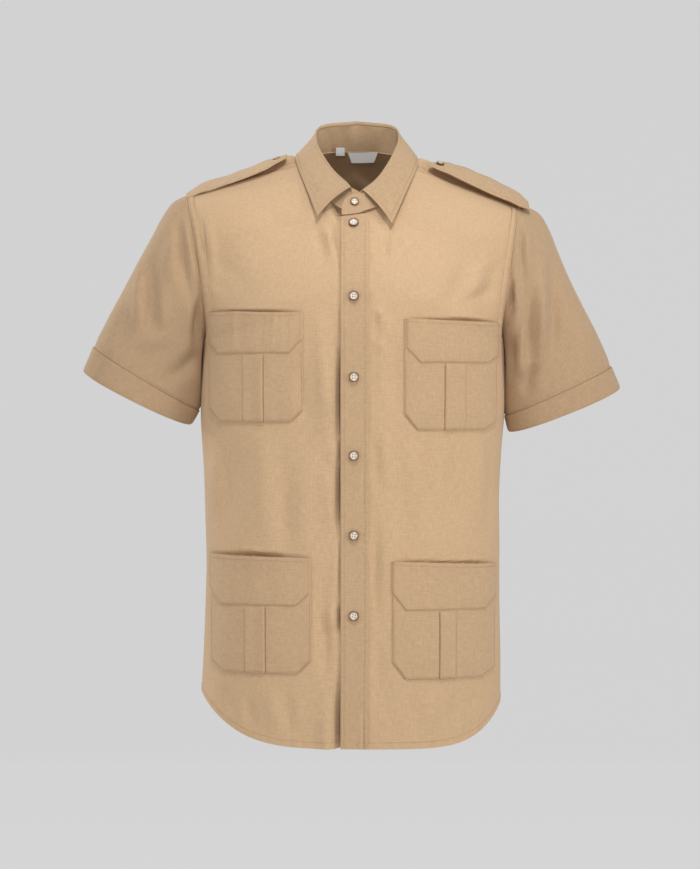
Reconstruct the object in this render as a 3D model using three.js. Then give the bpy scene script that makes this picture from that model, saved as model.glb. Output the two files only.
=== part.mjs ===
import * as THREE from 'three';

// Short-sleeved field shirt, worn shape, hollow. Millimetres, +Z up, front towards -Y.
// The origin is the centre of the neck at the height of the shoulders.

const CLOTH = 1.5;            // wall of one layer
const SEAM = 0.35;            // space between two pieces at a seam
const REST = 0.8;             // space under a piece that lies on a panel
const PLACKET_LEFT = -17.6;
const PLACKET_RIGHT = 17.4;
const CUFF_WALL = 2.4;
const CUFF_PROUD = 1.0;
const BUTTON = { radius: 6.2, thick: 2.6, hole: 0.9, pitch: 1.75 };
const STAND_BUTTON = 5.4;
const HEM_ROWS = 10;          // rows from hem to underarm
const CHEST_ROWS = 6;         // rows from underarm to the bottom of the neck
const NECK_ROWS = 7;          // rows beside the neck
const PANEL_COLUMNS = 11;
const YOKE_NECK = 6;          // half of the columns behind the neck
const YOKE_ROWS = 5;
const BACK_ROWS = 8;          // rows from underarm to the yoke

const COLORS = {
  cloth: 0xd0aa82, sleeve: 0xbf9a73, trim: 0xc4a37f, inside: 0xb59170,
  button: 0xe3dccb, label: 0xf0ece4,
};

const vec = (x, y, z) => new THREE.Vector3(x, y, z);

// A smooth curve through the rows of a table, s from 0 to 1, the rows evenly spaced.
function along(table, s) {
  const n = table.length - 1;
  const at = Math.min(Math.max(s, 0), 1) * n;
  const i = Math.min(Math.floor(at), n - 1);
  const t = at - i;
  return table[i].map((_, c) => {
    const p0 = table[i][c];
    const p1 = table[i + 1][c];
    const m0 = i > 0 ? (p1 - table[i - 1][c]) / 2 : p1 - p0;
    const m1 = i < n - 1 ? (table[i + 2][c] - p0) / 2 : p1 - p0;
    const t2 = t * t;
    const t3 = t2 * t;
    return (2 * t3 - 3 * t2 + 1) * p0 + (t3 - 2 * t2 + t) * m0
      + (3 * t2 - 2 * t3) * p1 + (t3 - t2) * m1;
  });
}

// A value read from [height, value] rows, straight between them.
function lookup(rows, z) {
  if (z <= rows[0][0]) return rows[0][1];
  for (let i = 1; i < rows.length; i += 1) {
    const [z1, v1] = rows[i];
    const [z0, v0] = rows[i - 1];
    if (z <= z1) return v0 + (v1 - v0) * (z - z0) / (z1 - z0);
  }
  return rows[rows.length - 1][1];
}

// Depth of the body at the middle of the front and of the back, [z, y].
const FRONT_DEPTH = [[-740, -118], [-600, -121], [-450, -123], [-300, -130], [-200, -134],
  [-165, -130], [-135, -119], [-105, -103], [-77, -85]];
const BACK_DEPTH = [[-740, 121], [-600, 113], [-450, 106], [-330, 111], [-240, 123],
  [-170, 128], [-120, 123], [-86, 114]];

// The two sides: hem, side seam [z, x], armhole and neck. Each armhole table runs x, y, z.
const SIDES = {
  right: {
    sign: -1, hemMiddle: -738, hemSide: -674, hemTurn: 3.3, middle: 10.0, slope: [0.52, 0.27],
    seam: [[-674, -194], [-626, -191.5], [-562, -189], [-511, -187.8], [-473, -187.8],
      [-397, -189.5], [-322, -191], [-240, -189]],
    armFront: [[-189, 0, -240], [-187, -38, -221], [-191, -59, -170], [-200, -56, -112],
      [-208, -38, -70], [-210.5, -22, -54]],
    armTop: [[-210.5, -22, -54], [-209, 0, -48], [-208, 26, -58], [-206, 50, -88]],
    armBack: [[-189, 0, -240], [-187, 40, -220], [-192, 66, -170], [-200, 66, -125],
      [-206, 50, -88]],
    neckFront: [[10, -85, -77], [-14, -82.5, -74], [-38, -67, -55], [-57, -43, -31],
      [-66, -18, -11]],
    neckBack: [[0, 66, 14], [-28, 62, 13], [-54, 38, 7], [-66, 6, -3], [-66, -18, -11]],
  },
  left: {
    sign: 1, hemMiddle: -738.5, hemSide: -686, hemTurn: 4.8, middle: 10.6, slope: [0.42, 0.18],
    seam: [[-686, 184.5], [-626, 184.5], [-562, 183.3], [-474, 183.2], [-435, 182.5],
      [-372, 184], [-331, 185], [-240, 186]],
    armFront: [[186, 0, -240], [185, -38, -224], [190, -59, -176], [198, -56, -120],
      [203, -38, -82], [204, -22, -68]],
    armTop: [[204, -22, -68], [217, 2, -62], [215, 28, -69], [207, 50, -92]],
    armBack: [[186, 0, -240], [185, 40, -224], [191, 66, -176], [200, 66, -130],
      [207, 50, -92]],
    neckFront: [[10.6, -85, -77], [30, -79, -69], [50, -62, -50], [66, -40, -31],
      [72, -20, -16]],
    neckBack: [[0, 66, 14], [28, 62, 13], [56, 38, 6], [70, 6, -6], [72, -20, -16]],
  },
};

// How full a row is (p, q), how its height turns to the side (k), and its extra swell.
function rowShape(v, side) {
  const [p, q, k, swell] = along([[2.4, 2.4, side.hemTurn, 0], [2.4, 2.4, 2, 0],
    [2.2, 1.35, 1.2, 9], [2, 1.2, 1, 3]], v / 3);
  return { p, q, k, swell };
}

// Middle edge of a panel: up the front or back, then round the neck.
function innerEdge(side, v, back) {
  if (v > 2) return vec(...along(side.neckFront, v - 2));
  const top = back ? -86 : -77;
  const z = v < 1 ? side.hemMiddle + (-205 - side.hemMiddle) * v : -205 + (top + 205) * (v - 1);
  const x = back ? 0 : side.middle;
  return vec(x, lookup(back ? BACK_DEPTH : FRONT_DEPTH, z), z);
}

// Outer edge of a panel: up the side seam, then round the armhole.
function outerEdge(side, v, back) {
  if (v < 1) {
    const z = side.hemSide + (-240 - side.hemSide) * v;
    return vec(lookup(side.seam, z), 0, z);
  }
  return vec(...along(back ? side.armBack : side.armFront, back ? v - 1 : (v - 1) / 2));
}

// Point of a panel. v runs up its rows, t from its middle edge to its outer edge.
function panelPoint(side, v, t, back = false) {
  const a = innerEdge(side, v, back);
  const b = outerEdge(side, v, back);
  const { p, q, k, swell } = rowShape(back ? Math.min(v, 2) : v, side);
  const full = (1 - Math.max(t, 0) ** p) ** (1 / q);
  const out = swell * 6.75 * t * t * (1 - t) * (back ? 1 : -1);
  return vec(a.x + (b.x - a.x) * t, b.y + (a.y - b.y) * full + out,
    a.z + (b.z - a.z) * Math.max(t, 0) ** k);
}

const columnAt = (j, n) => Math.sin(Math.PI / 2 * j / n) ** 0.9;

// Point of the front over a given x and z, moved out by lift.
function onFront(x, z, lift) {
  const side = x > SIDES.left.middle ? SIDES.left : SIDES.right;
  const bare = (px, pz) => {
    let low = 0;
    let high = 2;
    let point = null;
    for (let i = 0; i < 26; i += 1) {
      const v = (low + high) / 2;
      const a = innerEdge(side, v, false);
      const b = outerEdge(side, v, false);
      const t = Math.min(Math.max((px - a.x) / (b.x - a.x), 0), 0.9999);
      point = panelPoint(side, v, t);
      if (point.z < pz) low = v; else high = v;
    }
    return vec(px, point.y, pz);
  };
  const here = bare(x, z);
  const across = bare(x + 1, z).sub(bare(x - 1, z));
  const up = bare(x, z + 1).sub(bare(x, z - 1));
  return here.addScaledVector(across.cross(up).normalize(), lift);
}

// Grid of points: rows of columns.
const grid = (rows, columns, point) => Array.from({ length: rows + 1 }, (_, i) =>
  Array.from({ length: columns + 1 }, (_, j) => point(i, j)));

// The way through the wall at each point of a grid, away from the side that is seen.
function inwards(points, thick, flip = 1, ring = false) {
  const rows = points.length - 1;
  const columns = points[0].length - 1;
  return grid(rows, columns, (i, j) => {
    const left = ring && j === 0 ? points[i][columns - 1] : points[i][Math.max(j - 1, 0)];
    const right = ring && j === columns ? points[i][1] : points[i][Math.min(j + 1, columns)];
    const up = points[Math.min(i + 1, rows)][j].clone().sub(points[Math.max(i - 1, 0)][j]);
    return right.clone().sub(left).cross(up).normalize().multiplyScalar(-thick * flip);
  });
}

// Closed wall between a grid and the same grid moved by its inward vectors.
function wall(points, through, ring = false) {
  const rows = points.length - 1;
  const columns = points[0].length - 1;
  const wide = ring ? columns : columns + 1;
  const positions = [];
  for (const layer of [0, 1]) {
    for (let i = 0; i <= rows; i += 1) {
      for (let j = 0; j < wide; j += 1) {
        const p = points[i][j].clone().addScaledVector(through[i][j], layer);
        positions.push(p.x, p.y, p.z);
      }
    }
  }
  const id = (layer, i, j) => layer * (rows + 1) * wide + i * wide + (j % wide);
  const index = [];
  const quad = (a, b, c, d) => index.push(a, b, c, a, c, d);
  for (let i = 0; i < rows; i += 1) {
    for (let j = 0; j < columns; j += 1) {
      quad(id(0, i, j), id(0, i, j + 1), id(0, i + 1, j + 1), id(0, i + 1, j));
      quad(id(1, i, j), id(1, i + 1, j), id(1, i + 1, j + 1), id(1, i, j + 1));
    }
  }
  for (let j = 0; j < columns; j += 1) {
    quad(id(0, 0, j), id(1, 0, j), id(1, 0, j + 1), id(0, 0, j + 1));
    quad(id(0, rows, j), id(0, rows, j + 1), id(1, rows, j + 1), id(1, rows, j));
  }
  for (let i = 0; i < rows && !ring; i += 1) {
    quad(id(0, i, 0), id(0, i + 1, 0), id(1, i + 1, 0), id(1, i, 0));
    quad(id(0, i, columns), id(1, i, columns), id(1, i + 1, columns), id(0, i + 1, columns));
  }
  return solid(positions, index);
}

// Geometry with its faces turned outwards.
function solid(positions, index) {
  let volume = 0;
  const p = (k) => vec(...positions.slice(3 * k, 3 * k + 3));
  for (let i = 0; i < index.length; i += 3) {
    volume += p(index[i]).dot(p(index[i + 1]).cross(p(index[i + 2])));
  }
  if (volume < 0) index.reverse();
  const geometry = new THREE.BufferGeometry();
  geometry.setAttribute('position', new THREE.Float32BufferAttribute(positions, 3));
  geometry.setIndex(index);
  geometry.computeVertexNormals();
  return geometry;
}

const group = new THREE.Group();
function add(name, geometry, color) {
  const material = new THREE.MeshStandardMaterial({ color, roughness: 0.85, metalness: 0 });
  const mesh = new THREE.Mesh(geometry, material);
  mesh.name = name;
  group.add(mesh);
}

// Edges that two pieces share have one direction through the wall.
const armCentre = (side) => vec(side.sign * 200, 4, -145);
function armholeIn(side, point) {
  const d = armCentre(side).sub(point);
  return vec(0, d.y, d.z).normalize().multiplyScalar(CLOTH * 1.1);
}
function neckIn(point) {
  const flat = vec(3 - point.x, -8 - point.y, 0).normalize();
  const down = 0.45 + 0.5 * Math.abs(flat.x);
  return flat.add(vec(0, 0, -down)).normalize().multiplyScalar(CLOTH * 1.15);
}

// Front panels.
const frontRows = [];
for (let i = 0; i < HEM_ROWS; i += 1) frontRows.push(i / HEM_ROWS);
for (let i = 0; i < CHEST_ROWS; i += 1) frontRows.push(1 + i / CHEST_ROWS);
for (let i = 0; i <= NECK_ROWS; i += 1) frontRows.push(2 + i / NECK_ROWS);
const backRows = frontRows.slice(0, HEM_ROWS);
for (let i = 0; i <= BACK_ROWS; i += 1) backRows.push(1 + i / BACK_ROWS);

const fronts = {};
for (const [name, side] of Object.entries(SIDES)) {
  const last = frontRows.length - 1;
  const points = grid(last, PANEL_COLUMNS, (i, j) =>
    panelPoint(side, frontRows[i], columnAt(j, PANEL_COLUMNS)));
  const through = inwards(points, CLOTH, side.sign);
  for (let i = 0; i <= last; i += 1) {
    const edge = points[i][PANEL_COLUMNS];
    if (i < HEM_ROWS) through[i][PANEL_COLUMNS] = vec(-side.sign * CLOTH, 0, 0);
    else through[i][PANEL_COLUMNS] = armholeIn(side, edge);
    if (i < HEM_ROWS + CHEST_ROWS) through[i][0] = vec(0, CLOTH, 0);
    else through[i][0] = neckIn(points[i][0]);
  }
  fronts[name] = { points, through };
  add(`front_${name}`, wall(points, through), COLORS.cloth);
}

// Back panel, in one piece from side seam to side seam.
const HALF = YOKE_NECK + PANEL_COLUMNS;
const sideOf = (j) => (j < HALF ? SIDES.right : SIDES.left);
const backPoints = grid(backRows.length - 1, 2 * HALF, (i, j) => {
  const point = panelPoint(sideOf(j), backRows[i], columnAt(Math.abs(j - HALF), HALF), true);
  return point.add(vec(0, i < HEM_ROWS + 1 ? SEAM : SEAM * (j % (2 * HALF) ? 1 : 0.6), 0));
});
const backThrough = inwards(backPoints, CLOTH, -1);
backPoints.forEach((row, i) => {
  for (const [j, side] of [[0, SIDES.right], [2 * HALF, SIDES.left]]) {
    backThrough[i][j] = i < HEM_ROWS ? vec(-side.sign * CLOTH, 0, 0) : armholeIn(side, row[j]);
  }
});
add('back', wall(backPoints, backThrough), COLORS.cloth);

// Yoke: from the back panel over the shoulders to the fronts, round the back of the neck.
const backTop = backPoints[backRows.length - 1];
const frontTop = frontRows.length - 1;
function yokeEnd(j) {
  const side = sideOf(j);
  const step = Math.abs(j - HALF);
  if (step < YOKE_NECK) return vec(...along(side.neckBack, step / YOKE_NECK));
  const name = side === SIDES.left ? 'left' : 'right';
  return fronts[name].points[frontTop][step - YOKE_NECK].clone().add(vec(0, 0.5, 0.15));
}
function yokePoint(v, j) {
  const side = sideOf(j);
  const start = backTop[j].clone().add(vec(0, 0, SEAM));
  const end = yokeEnd(j);
  const out = Math.abs(j - HALF) / HALF;
  const rise = Math.max(0, (Math.abs(j - HALF) - YOKE_NECK) / PANEL_COLUMNS);
  if (rise >= 1) {
    const edge = vec(...along(side.armTop, 1 - v));
    return edge.add(vec(0, SEAM * (1 - v) + SEAM * v, SEAM * (1 - v)));
  }
  const over = out > YOKE_NECK / HALF ? 1 : out * HALF / YOKE_NECK;
  const reach = start.distanceTo(end);
  const first = start.clone().add(vec(0, -0.08 * reach, (0.34 + 0.12 * over) * reach));
  const second = end.clone().add(vec(0, (0.25 + 0.25 * over) * reach,
    (-0.2 * (1 - over) + 0.16 * over) * reach));
  return new THREE.CubicBezierCurve3(start, first, second, end).getPoint(v);
}
const yokePoints = grid(YOKE_ROWS, 2 * HALF, (i, j) => yokePoint(i / YOKE_ROWS, j));
const yokeThrough = inwards(yokePoints, CLOTH, -1);
for (let j = 0; j <= 2 * HALF; j += 1) {
  const step = Math.abs(j - HALF);
  yokeThrough[0][j] = backThrough[backRows.length - 1][j].clone();
  const name = sideOf(j) === SIDES.left ? 'left' : 'right';
  yokeThrough[YOKE_ROWS][j] = step <= YOKE_NECK ? neckIn(yokePoints[YOKE_ROWS][j])
    : fronts[name].through[frontTop][step - YOKE_NECK].clone();
}
yokePoints.forEach((row, i) => {
  yokeThrough[i][0] = armholeIn(SIDES.right, row[0]);
  yokeThrough[i][2 * HALF] = armholeIn(SIDES.left, row[2 * HALF]);
});
add('yoke', wall(yokePoints, yokeThrough), COLORS.cloth);

// Sleeves: from the armhole to the cuff. Cuff rings are ovals, given by their inner and
// outer ends in x and z and by their half depth.
const SLEEVES = {
  right: {
    top: { inner: [-197.5, -321], outer: [-331, -240.5], depth: 50, y: -2 },
    end: { inner: [-207, -338], outer: [-344, -270], depth: 51, y: -2 },
  },
  left: {
    top: { inner: [190.5, -328], outer: [325, -265.5], depth: 50, y: -2 },
    end: { inner: [195, -347], outer: [336, -291.5], depth: 51, y: -2 },
  },
};
function ovalPoint(oval, angle) {
  const c = Math.cos(angle);
  const s = Math.sin(angle);
  const along1 = Math.sign(c) * Math.abs(c) ** 0.88;
  const across = Math.sign(s) * Math.abs(s) ** 0.88;
  const mid = (k) => (oval.inner[k] + oval.outer[k]) / 2;
  const half = (k) => (oval.inner[k] - oval.outer[k]) / 2;
  return vec(mid(0) + half(0) * along1, oval.y - oval.depth * across, mid(1) + half(1) * along1);
}
const SLEEVE_ROWS = 8;
for (const [name, side] of Object.entries(SIDES)) {
  const size = SLEEVES[name];
  const front = fronts[name];
  const loop = [];
  const loopIn = [];
  for (let i = HEM_ROWS; i <= frontTop; i += 1) {
    loop.push(front.points[i][PANEL_COLUMNS]);
    loopIn.push(front.through[i][PANEL_COLUMNS]);
  }
  const j = name === 'left' ? 2 * HALF : 0;
  for (let i = YOKE_ROWS - 1; i > 0; i -= 1) {
    loop.push(yokePoints[i][j]);
    loopIn.push(yokeThrough[i][j]);
  }
  const shoulder = loop.length - 1 - YOKE_ROWS / 2 + 1;
  for (let i = backRows.length - 1; i >= HEM_ROWS; i -= 1) {
    loop.push(backPoints[i][j]);
    loopIn.push(backThrough[i][j]);
  }
  loop[loop.length - 1] = loop[0];
  loopIn[loopIn.length - 1] = loopIn[0];
  const lengths = [0];
  for (let i = 1; i < loop.length; i += 1) {
    lengths.push(lengths[i - 1] + loop[i].distanceTo(loop[i - 1]));
  }
  const top = (lengths[Math.floor(shoulder)] + lengths[Math.ceil(shoulder)]) / 2;
  const total = lengths[lengths.length - 1];
  const angles = lengths.map((l) => (l < top ? l / top : 1 + (l - top) / (total - top)) * Math.PI);
  const axis = vec((size.end.inner[0] + size.end.outer[0] - size.top.inner[0]
    - size.top.outer[0]) / 2, 0, (size.end.inner[1] + size.end.outer[1] - size.top.inner[1]
    - size.top.outer[1]) / 2).normalize();
  const points = grid(SLEEVE_ROWS, loop.length - 1, (i, k) => {
    const start = loop[k].clone().add(vec(side.sign * SEAM, 0, 0));
    const c = Math.cos(angles[k]);
    const s = Math.sin(angles[k]);
    const away = vec(side.sign * (side.slope[0] - side.slope[1] * c), -0.34 * s,
      -0.8 - 0.18 * c).normalize();
    const end = ovalPoint(size.top, angles[k]).addScaledVector(axis, -SEAM);
    const reach = start.distanceTo(end);
    const first = start.clone().addScaledVector(away, reach * (0.25 + 0.09 * c));
    const second = end.clone().addScaledVector(axis, -reach * (0.36 - 0.08 * c));
    return new THREE.CubicBezierCurve3(start, first, second, end).getPoint(i / SLEEVE_ROWS);
  });
  const through = inwards(points, CLOTH, name === 'left' ? 1 : -1, true);
  through[0] = loopIn.map((d) => d.clone());
  add(`sleeve_${name}`, wall(points, through, true), COLORS.sleeve);

  const cuff = grid(2, loop.length - 1, (i, k) => {
    const a = ovalPoint(size.top, angles[k]);
    return a.lerp(ovalPoint(size.end, angles[k]), i / 2);
  });
  const cuffIn = inwards(cuff, CUFF_WALL, name === 'left' ? 1 : -1, true);
  const proud = grid(2, loop.length - 1, (i, k) => cuff[i][k].clone()
    .addScaledVector(cuffIn[i][k], -CUFF_PROUD / CUFF_WALL));
  add(`cuff_${name}`, wall(proud, cuffIn, true), COLORS.trim);
}

// Collar stand: a band from the under end at the front, round the neck, to the tab.
// Its lower edge follows the neck seam, its upper edge this table of x, y, z.
const STAND_TOP = {
  right: [[10, -73, -53], [-8, -64, -42], [-25, -42, -24], [-40, -12, 0], [-48, 16, 22],
    [-42, 46, 41], [3, 62, 48]],
  left: [[10.6, -73, -53], [24, -58, -38], [38, -36, -18], [49, -10, 4], [55, 18, 24],
    [48, 46, 41], [3, 62, 48]],
};
const TAB = [[4, -78.2, -53], [-4, -79.4, -54.6], [-11, -80.2, -58.8], [-16.4, -80.4, -69]];
const TAB_OUT = 2.9;
const neckColumns = [];
for (let i = 0; i <= NECK_ROWS; i += 1) neckColumns.push(['right', i, 'front']);
for (let j = 1; j < 2 * YOKE_NECK; j += 1) neckColumns.push(['both', j, 'yoke']);
for (let i = NECK_ROWS; i >= 0; i -= 1) neckColumns.push(['left', i, 'front']);
const middleColumn = NECK_ROWS + YOKE_NECK;
const standBottom = neckColumns.map(([name, i, kind]) => {
  if (kind === 'front') return fronts[name].points[HEM_ROWS + CHEST_ROWS + i][0];
  return yokePoints[YOKE_ROWS][HALF - YOKE_NECK + i];
});
const smooth = (t) => t * t * (3 - 2 * t);
function standPoint(i, k, rows) {
  const last = neckColumns.length - 1;
  if (k > last) {
    const [x, zLow, zHigh] = TAB[k - last - 1];
    const z = zLow + (zHigh - zLow) * i / rows;
    return vec(x, -73 + 0.5 * (z + 53) - TAB_OUT, z);
  }
  const low = standBottom[k].clone().add(vec(0, 0, SEAM));
  const s = k <= middleColumn ? k / middleColumn : (last - k) / middleColumn;
  const high = vec(...along(k <= middleColumn ? STAND_TOP.right : STAND_TOP.left, s));
  const out = TAB_OUT * smooth(Math.max(0, (k - last + 3) / 3));
  return low.lerp(high, i / rows).add(vec(0, -out, 0.3 * out));
}
const standPoints = grid(3, neckColumns.length - 1 + TAB.length, (i, k) => standPoint(i, k, 3));
const standThrough = inwards(standPoints, CLOTH, -1);
standBottom.forEach((point, k) => { standThrough[0][k] = neckIn(point); });
add('collar_stand', wall(standPoints, standThrough), COLORS.cloth);

// Collar: rolls over the top of the stand and falls outside it. Its outer edge, x, y, z,
// runs from each point round to the middle of the back.
const COLLAR_EDGE = {
  right: [[-46.6, -97, -82], [-57.5, -72, -52.5], [-71.5, -28, -17], [-75, 4, -1],
    [-72, 44, 6], [-44, 80, 6], [0, 92, 4]],
  left: [[45.8, -102, -92], [61, -76, -57], [77, -28, -20], [81, 4, -4],
    [76, 44, 4], [46, 80, 5], [0, 92, 4]],
};
const COLLAR_FRONT = { right: [-2.8, -76, -47], left: [6.6, -78, -51] };
const collarRows = [0, 0.5, 1, 1.5, 2.25, 3];
function collarPoint(i, k) {
  const last = neckColumns.length - 1;
  const right = k <= middleColumn;
  const s = right ? k / middleColumn : (last - k) / middleColumn;
  const topTable = (right ? STAND_TOP.right : STAND_TOP.left).slice();
  const [fx, fy, fz] = right ? COLLAR_FRONT.right : COLLAR_FRONT.left;
  topTable[0] = [fx, fy + 2.2, fz - 2.2];
  const base = vec(...along(topTable, s)).add(vec(0, 0, SEAM + 0.3));
  const edge = vec(...along(right ? COLLAR_EDGE.right : COLLAR_EDGE.left, s));
  const out = edge.clone().sub(base).setZ(0).normalize();
  const v = collarRows[i];
  if (v <= 1.5) {
    const turn = Math.PI * Math.min(v / 1.5, 1) * 0.72;
    return base.addScaledVector(out, 3.2 * (1 - Math.cos(turn))).add(vec(0, 0, 3.2 * Math.sin(turn)
      + 1.2 * Math.min(v, 1)));
  }
  const turn = Math.PI * 0.72;
  const roll = base.clone().addScaledVector(out, 3.2 * (1 - Math.cos(turn)))
    .add(vec(0, 0, 3.2 * Math.sin(turn) + 1.2));
  const t = (v - 1.5) / 1.5;
  return roll.lerp(edge, t).addScaledVector(out, 14 * t * (1 - t) * (0.4 + 0.6 * smooth(s)))
    .add(vec(0, 0, 10 * t * (1 - t)));
}
const collarPoints = grid(collarRows.length - 1, neckColumns.length - 1, collarPoint);
add('collar', wall(collarPoints, inwards(collarPoints, CLOTH, -1)), COLORS.cloth);

// Placket: a strip over the meeting edges of the fronts.
const PLACKET_ROWS = HEM_ROWS + CHEST_ROWS;
function placketPoint(i, j) {
  const x = PLACKET_LEFT + (PLACKET_RIGHT - PLACKET_LEFT) * j / 3;
  const top = -83.2 + 0.12 * (x - PLACKET_LEFT);
  const z = i < PLACKET_ROWS ? innerEdge(SIDES.right, frontRows[i], false).z : top;
  return onFront(x, z, REST + CLOTH);
}
const placketPoints = grid(PLACKET_ROWS, 3, placketPoint);
add('placket', wall(placketPoints, inwards(placketPoints, CLOTH - 0.1, 1)), COLORS.trim);

// Pockets: corners in x and z. Each bag has a raised pleat, each flap two cut corners.
const POCKETS = {
  chest_right: { left: -181.5, right: -64.6, top: [-200, -203], flapSide: [-233.8, -236],
    flapLow: -252, flapCut: 15, bagLeft: -180, bagRight: -63.6, bagSide: [-320, -322],
    bagLow: -336.7, pleat: [-137.3, -112] },
  chest_left: { left: 62.8, right: 178.5, top: [-210.9, -213.5], flapSide: [-246, -251],
    flapLow: -263.7, flapCut: 16.5, bagLeft: 60.3, bagRight: 174.2, bagSide: [-326.4, -335.7],
    bagLow: -346.7, pleat: [109.7, 134.8] },
  low_right: { left: -181, right: -54.8, top: [-500.5, -503.7], flapSide: [-539, -546.7],
    flapLow: -562.4, flapCut: 17, bagLeft: -180, bagRight: -53.5, bagSide: [-633, -629],
    bagLow: -646.4, pleat: [-134.8, -109.7] },
  low_left: { left: 45.2, right: 176.6, top: [-507.6, -512.8], flapSide: [-545.6, -550.6],
    flapLow: -568, flapCut: 17, bagLeft: 45.9, bagRight: 174.6, bagSide: [-631, -641],
    bagLow: -653, pleat: [103.5, 123.7] },
};
const PLEAT_RISE = 1.3;
const bend = (a, b, t) => a + (b - a) * t;
for (const [name, p] of Object.entries(POCKETS)) {
  const middle = (p.pleat[0] + p.pleat[1]) / 2;
  const columns = (left, right, step) => [left, left + 7, left + p.flapCut,
    (left + p.flapCut + p.pleat[0]) / 2, p.pleat[0] - step, ...(step ? [p.pleat[0]] : []), middle,
    ...(step ? [p.pleat[1]] : []), p.pleat[1] + step, (right - p.flapCut + p.pleat[1]) / 2,
    right - p.flapCut, right - 7, right];
  const bagX = columns(p.bagLeft, p.bagRight, 1);
  const sag = (x) => Math.sin(Math.PI * (x - p.left) / (p.right - p.left));
  const bagRow = [0, 0.13, 0.26, 0.46, 0.48, 0.74, 1];
  const lift = REST + CLOTH + 0.1;
  const bag = grid(bagRow.length - 1, bagX.length - 1, (i, j) => {
    const x = bagX[j];
    const across = (x - p.bagLeft) / (p.bagRight - p.bagLeft);
    const corner = j === 0 || j === bagX.length - 1 ? 1 : j === 1 || j === bagX.length - 2 ? 0.5 : 0;
    const low = bend(p.bagLow, p.bagSide[across < 0.5 ? 0 : 1], corner);
    const z = bend(bend(p.top[0], p.top[1], across) - 0.5, low, bagRow[i]);
    const raised = i > 3 && j >= 5 && j <= 7 ? PLEAT_RISE : 0;
    const mouth = i === 0 ? 2.2 * Math.max(0, sag(x)) : 0;
    return onFront(x, z, lift + raised + mouth);
  });
  add(`pocket_${name}`, wall(bag, inwards(bag, CLOTH, -1)), COLORS.cloth);

  const wide = p.right - p.left;
  const flapX = columns(p.left, p.right, 0);
  const flap = grid(3, flapX.length - 1, (i, j) => {
    const x = flapX[j];
    const across = (x - p.left) / wide;
    const corner = j === 0 || j === 10 ? 1 : j === 1 || j === 9 ? 0.5 : 0;
    const low = bend(p.flapLow, p.flapSide[across < 0.5 ? 0 : 1], corner);
    const z = bend(bend(p.top[0], p.top[1], across), low, i / 3);
    const mouth = 2.2 * Math.max(0, sag(x)) * Math.max(0, 1 - i * 0.6);
    return onFront(x, z, lift + CLOTH + 0.95 + mouth);
  });
  add(`flap_${name}`, wall(flap, inwards(flap, CLOTH, -1)), COLORS.cloth);
}

// Epaulettes: straps that stand off the yoke, cut square at the armhole, pointed at the neck.
// Each row is x, y, z of the middle line and the drop to the front, from armhole to point.
const EPAULETTES = {
  right: [[-210, 0, -42.5, 0.33], [-190, -2, -37, 0.35], [-170, -4, -31.5, 0.35],
    [-145, -5, -23, 0.35], [-118, -5, -12, 0.35], [-102, -5, -5, 0.35], [-86, -5, 2, 0.35]],
  left: [[218, -4, -62.6, 0.28], [205, -6, -49.5, 0.42], [182, -9, -37, 0.48],
    [158, -11, -27, 0.48], [130, -12, -19.5, 0.48], [112, -12, -13.5, 0.48],
    [94, -13, -10.5, 0.48]],
};
const STRAP_HALF = [[23], [23], [22.5], [22], [21], [17], [5]];
const straps = {};
for (const [name, strap] of Object.entries(EPAULETTES)) {
  const rows = 10;
  const points = grid(rows, 4, (i, j) => {
    const s = i / rows;
    const [x, y, z, drop] = along(strap, s);
    const [half] = along(STRAP_HALF, s);
    const w = (j - 2) / 2;
    return vec(x, y + w * half, z + w * half * drop - 2 * w * w);
  });
  const through = inwards(points, CLOTH, name === 'left' ? 1 : -1);
  add(`epaulette_${name}`, wall(points, through), COLORS.trim);
  straps[name] = { at: points[8][2].clone(), facing: through[8][2].clone().negate().normalize() };
}

// Buttons: turned discs with a bevelled edge and four holes.
function buttonShape(radius) {
  const shape = new THREE.Shape();
  shape.absarc(0, 0, radius - 0.5, 0, 2 * Math.PI);
  for (const [sx, sy] of [[1, 1], [1, -1], [-1, 1], [-1, -1]]) {
    const hole = new THREE.Path();
    hole.absarc(sx * BUTTON.pitch, sy * BUTTON.pitch, BUTTON.hole + 0.3, 0, 2 * Math.PI, true);
    shape.holes.push(hole);
  }
  return new THREE.ExtrudeGeometry(shape, {
    depth: BUTTON.thick - 0.8, curveSegments: 4, bevelEnabled: true, bevelThickness: 0.4,
    bevelSize: 0.5, bevelSegments: 1,
  });
}
function placeButton(name, at, facing, radius = BUTTON.radius) {
  const geometry = buttonShape(radius);
  geometry.deleteAttribute('normal');
  geometry.deleteAttribute('uv');
  const turn = new THREE.Quaternion().setFromUnitVectors(vec(0, 0, 1), facing.normalize());
  geometry.applyQuaternion(turn);
  geometry.translate(at.x, at.y, at.z);
  geometry.computeVertexNormals();
  add(name, geometry, COLORS.button);
}
const FRONT_BUTTONS = [-92.3, -183.1, -281.7, -377.8, -475.7, -574.4];
FRONT_BUTTONS.forEach((z, i) => {
  const at = onFront(-1.2, z, REST + CLOTH + 0.4);
  const facing = onFront(-1.2, z, 20).sub(onFront(-1.2, z, 0));
  placeButton(`button_${i + 1}`, at.addScaledVector(facing.clone().normalize(), 0.4), facing);
});
const tabFacing = vec(0, -1, 0.5).normalize();
placeButton('button_stand', vec(-0.3, -81.4, -64).addScaledVector(tabFacing, 0.9), tabFacing,
  STAND_BUTTON);
for (const [name, { at, facing }] of Object.entries(straps)) {
  placeButton(`button_epaulette_${name}`, at.addScaledVector(facing, 0.9), facing, STAND_BUTTON);
}

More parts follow.
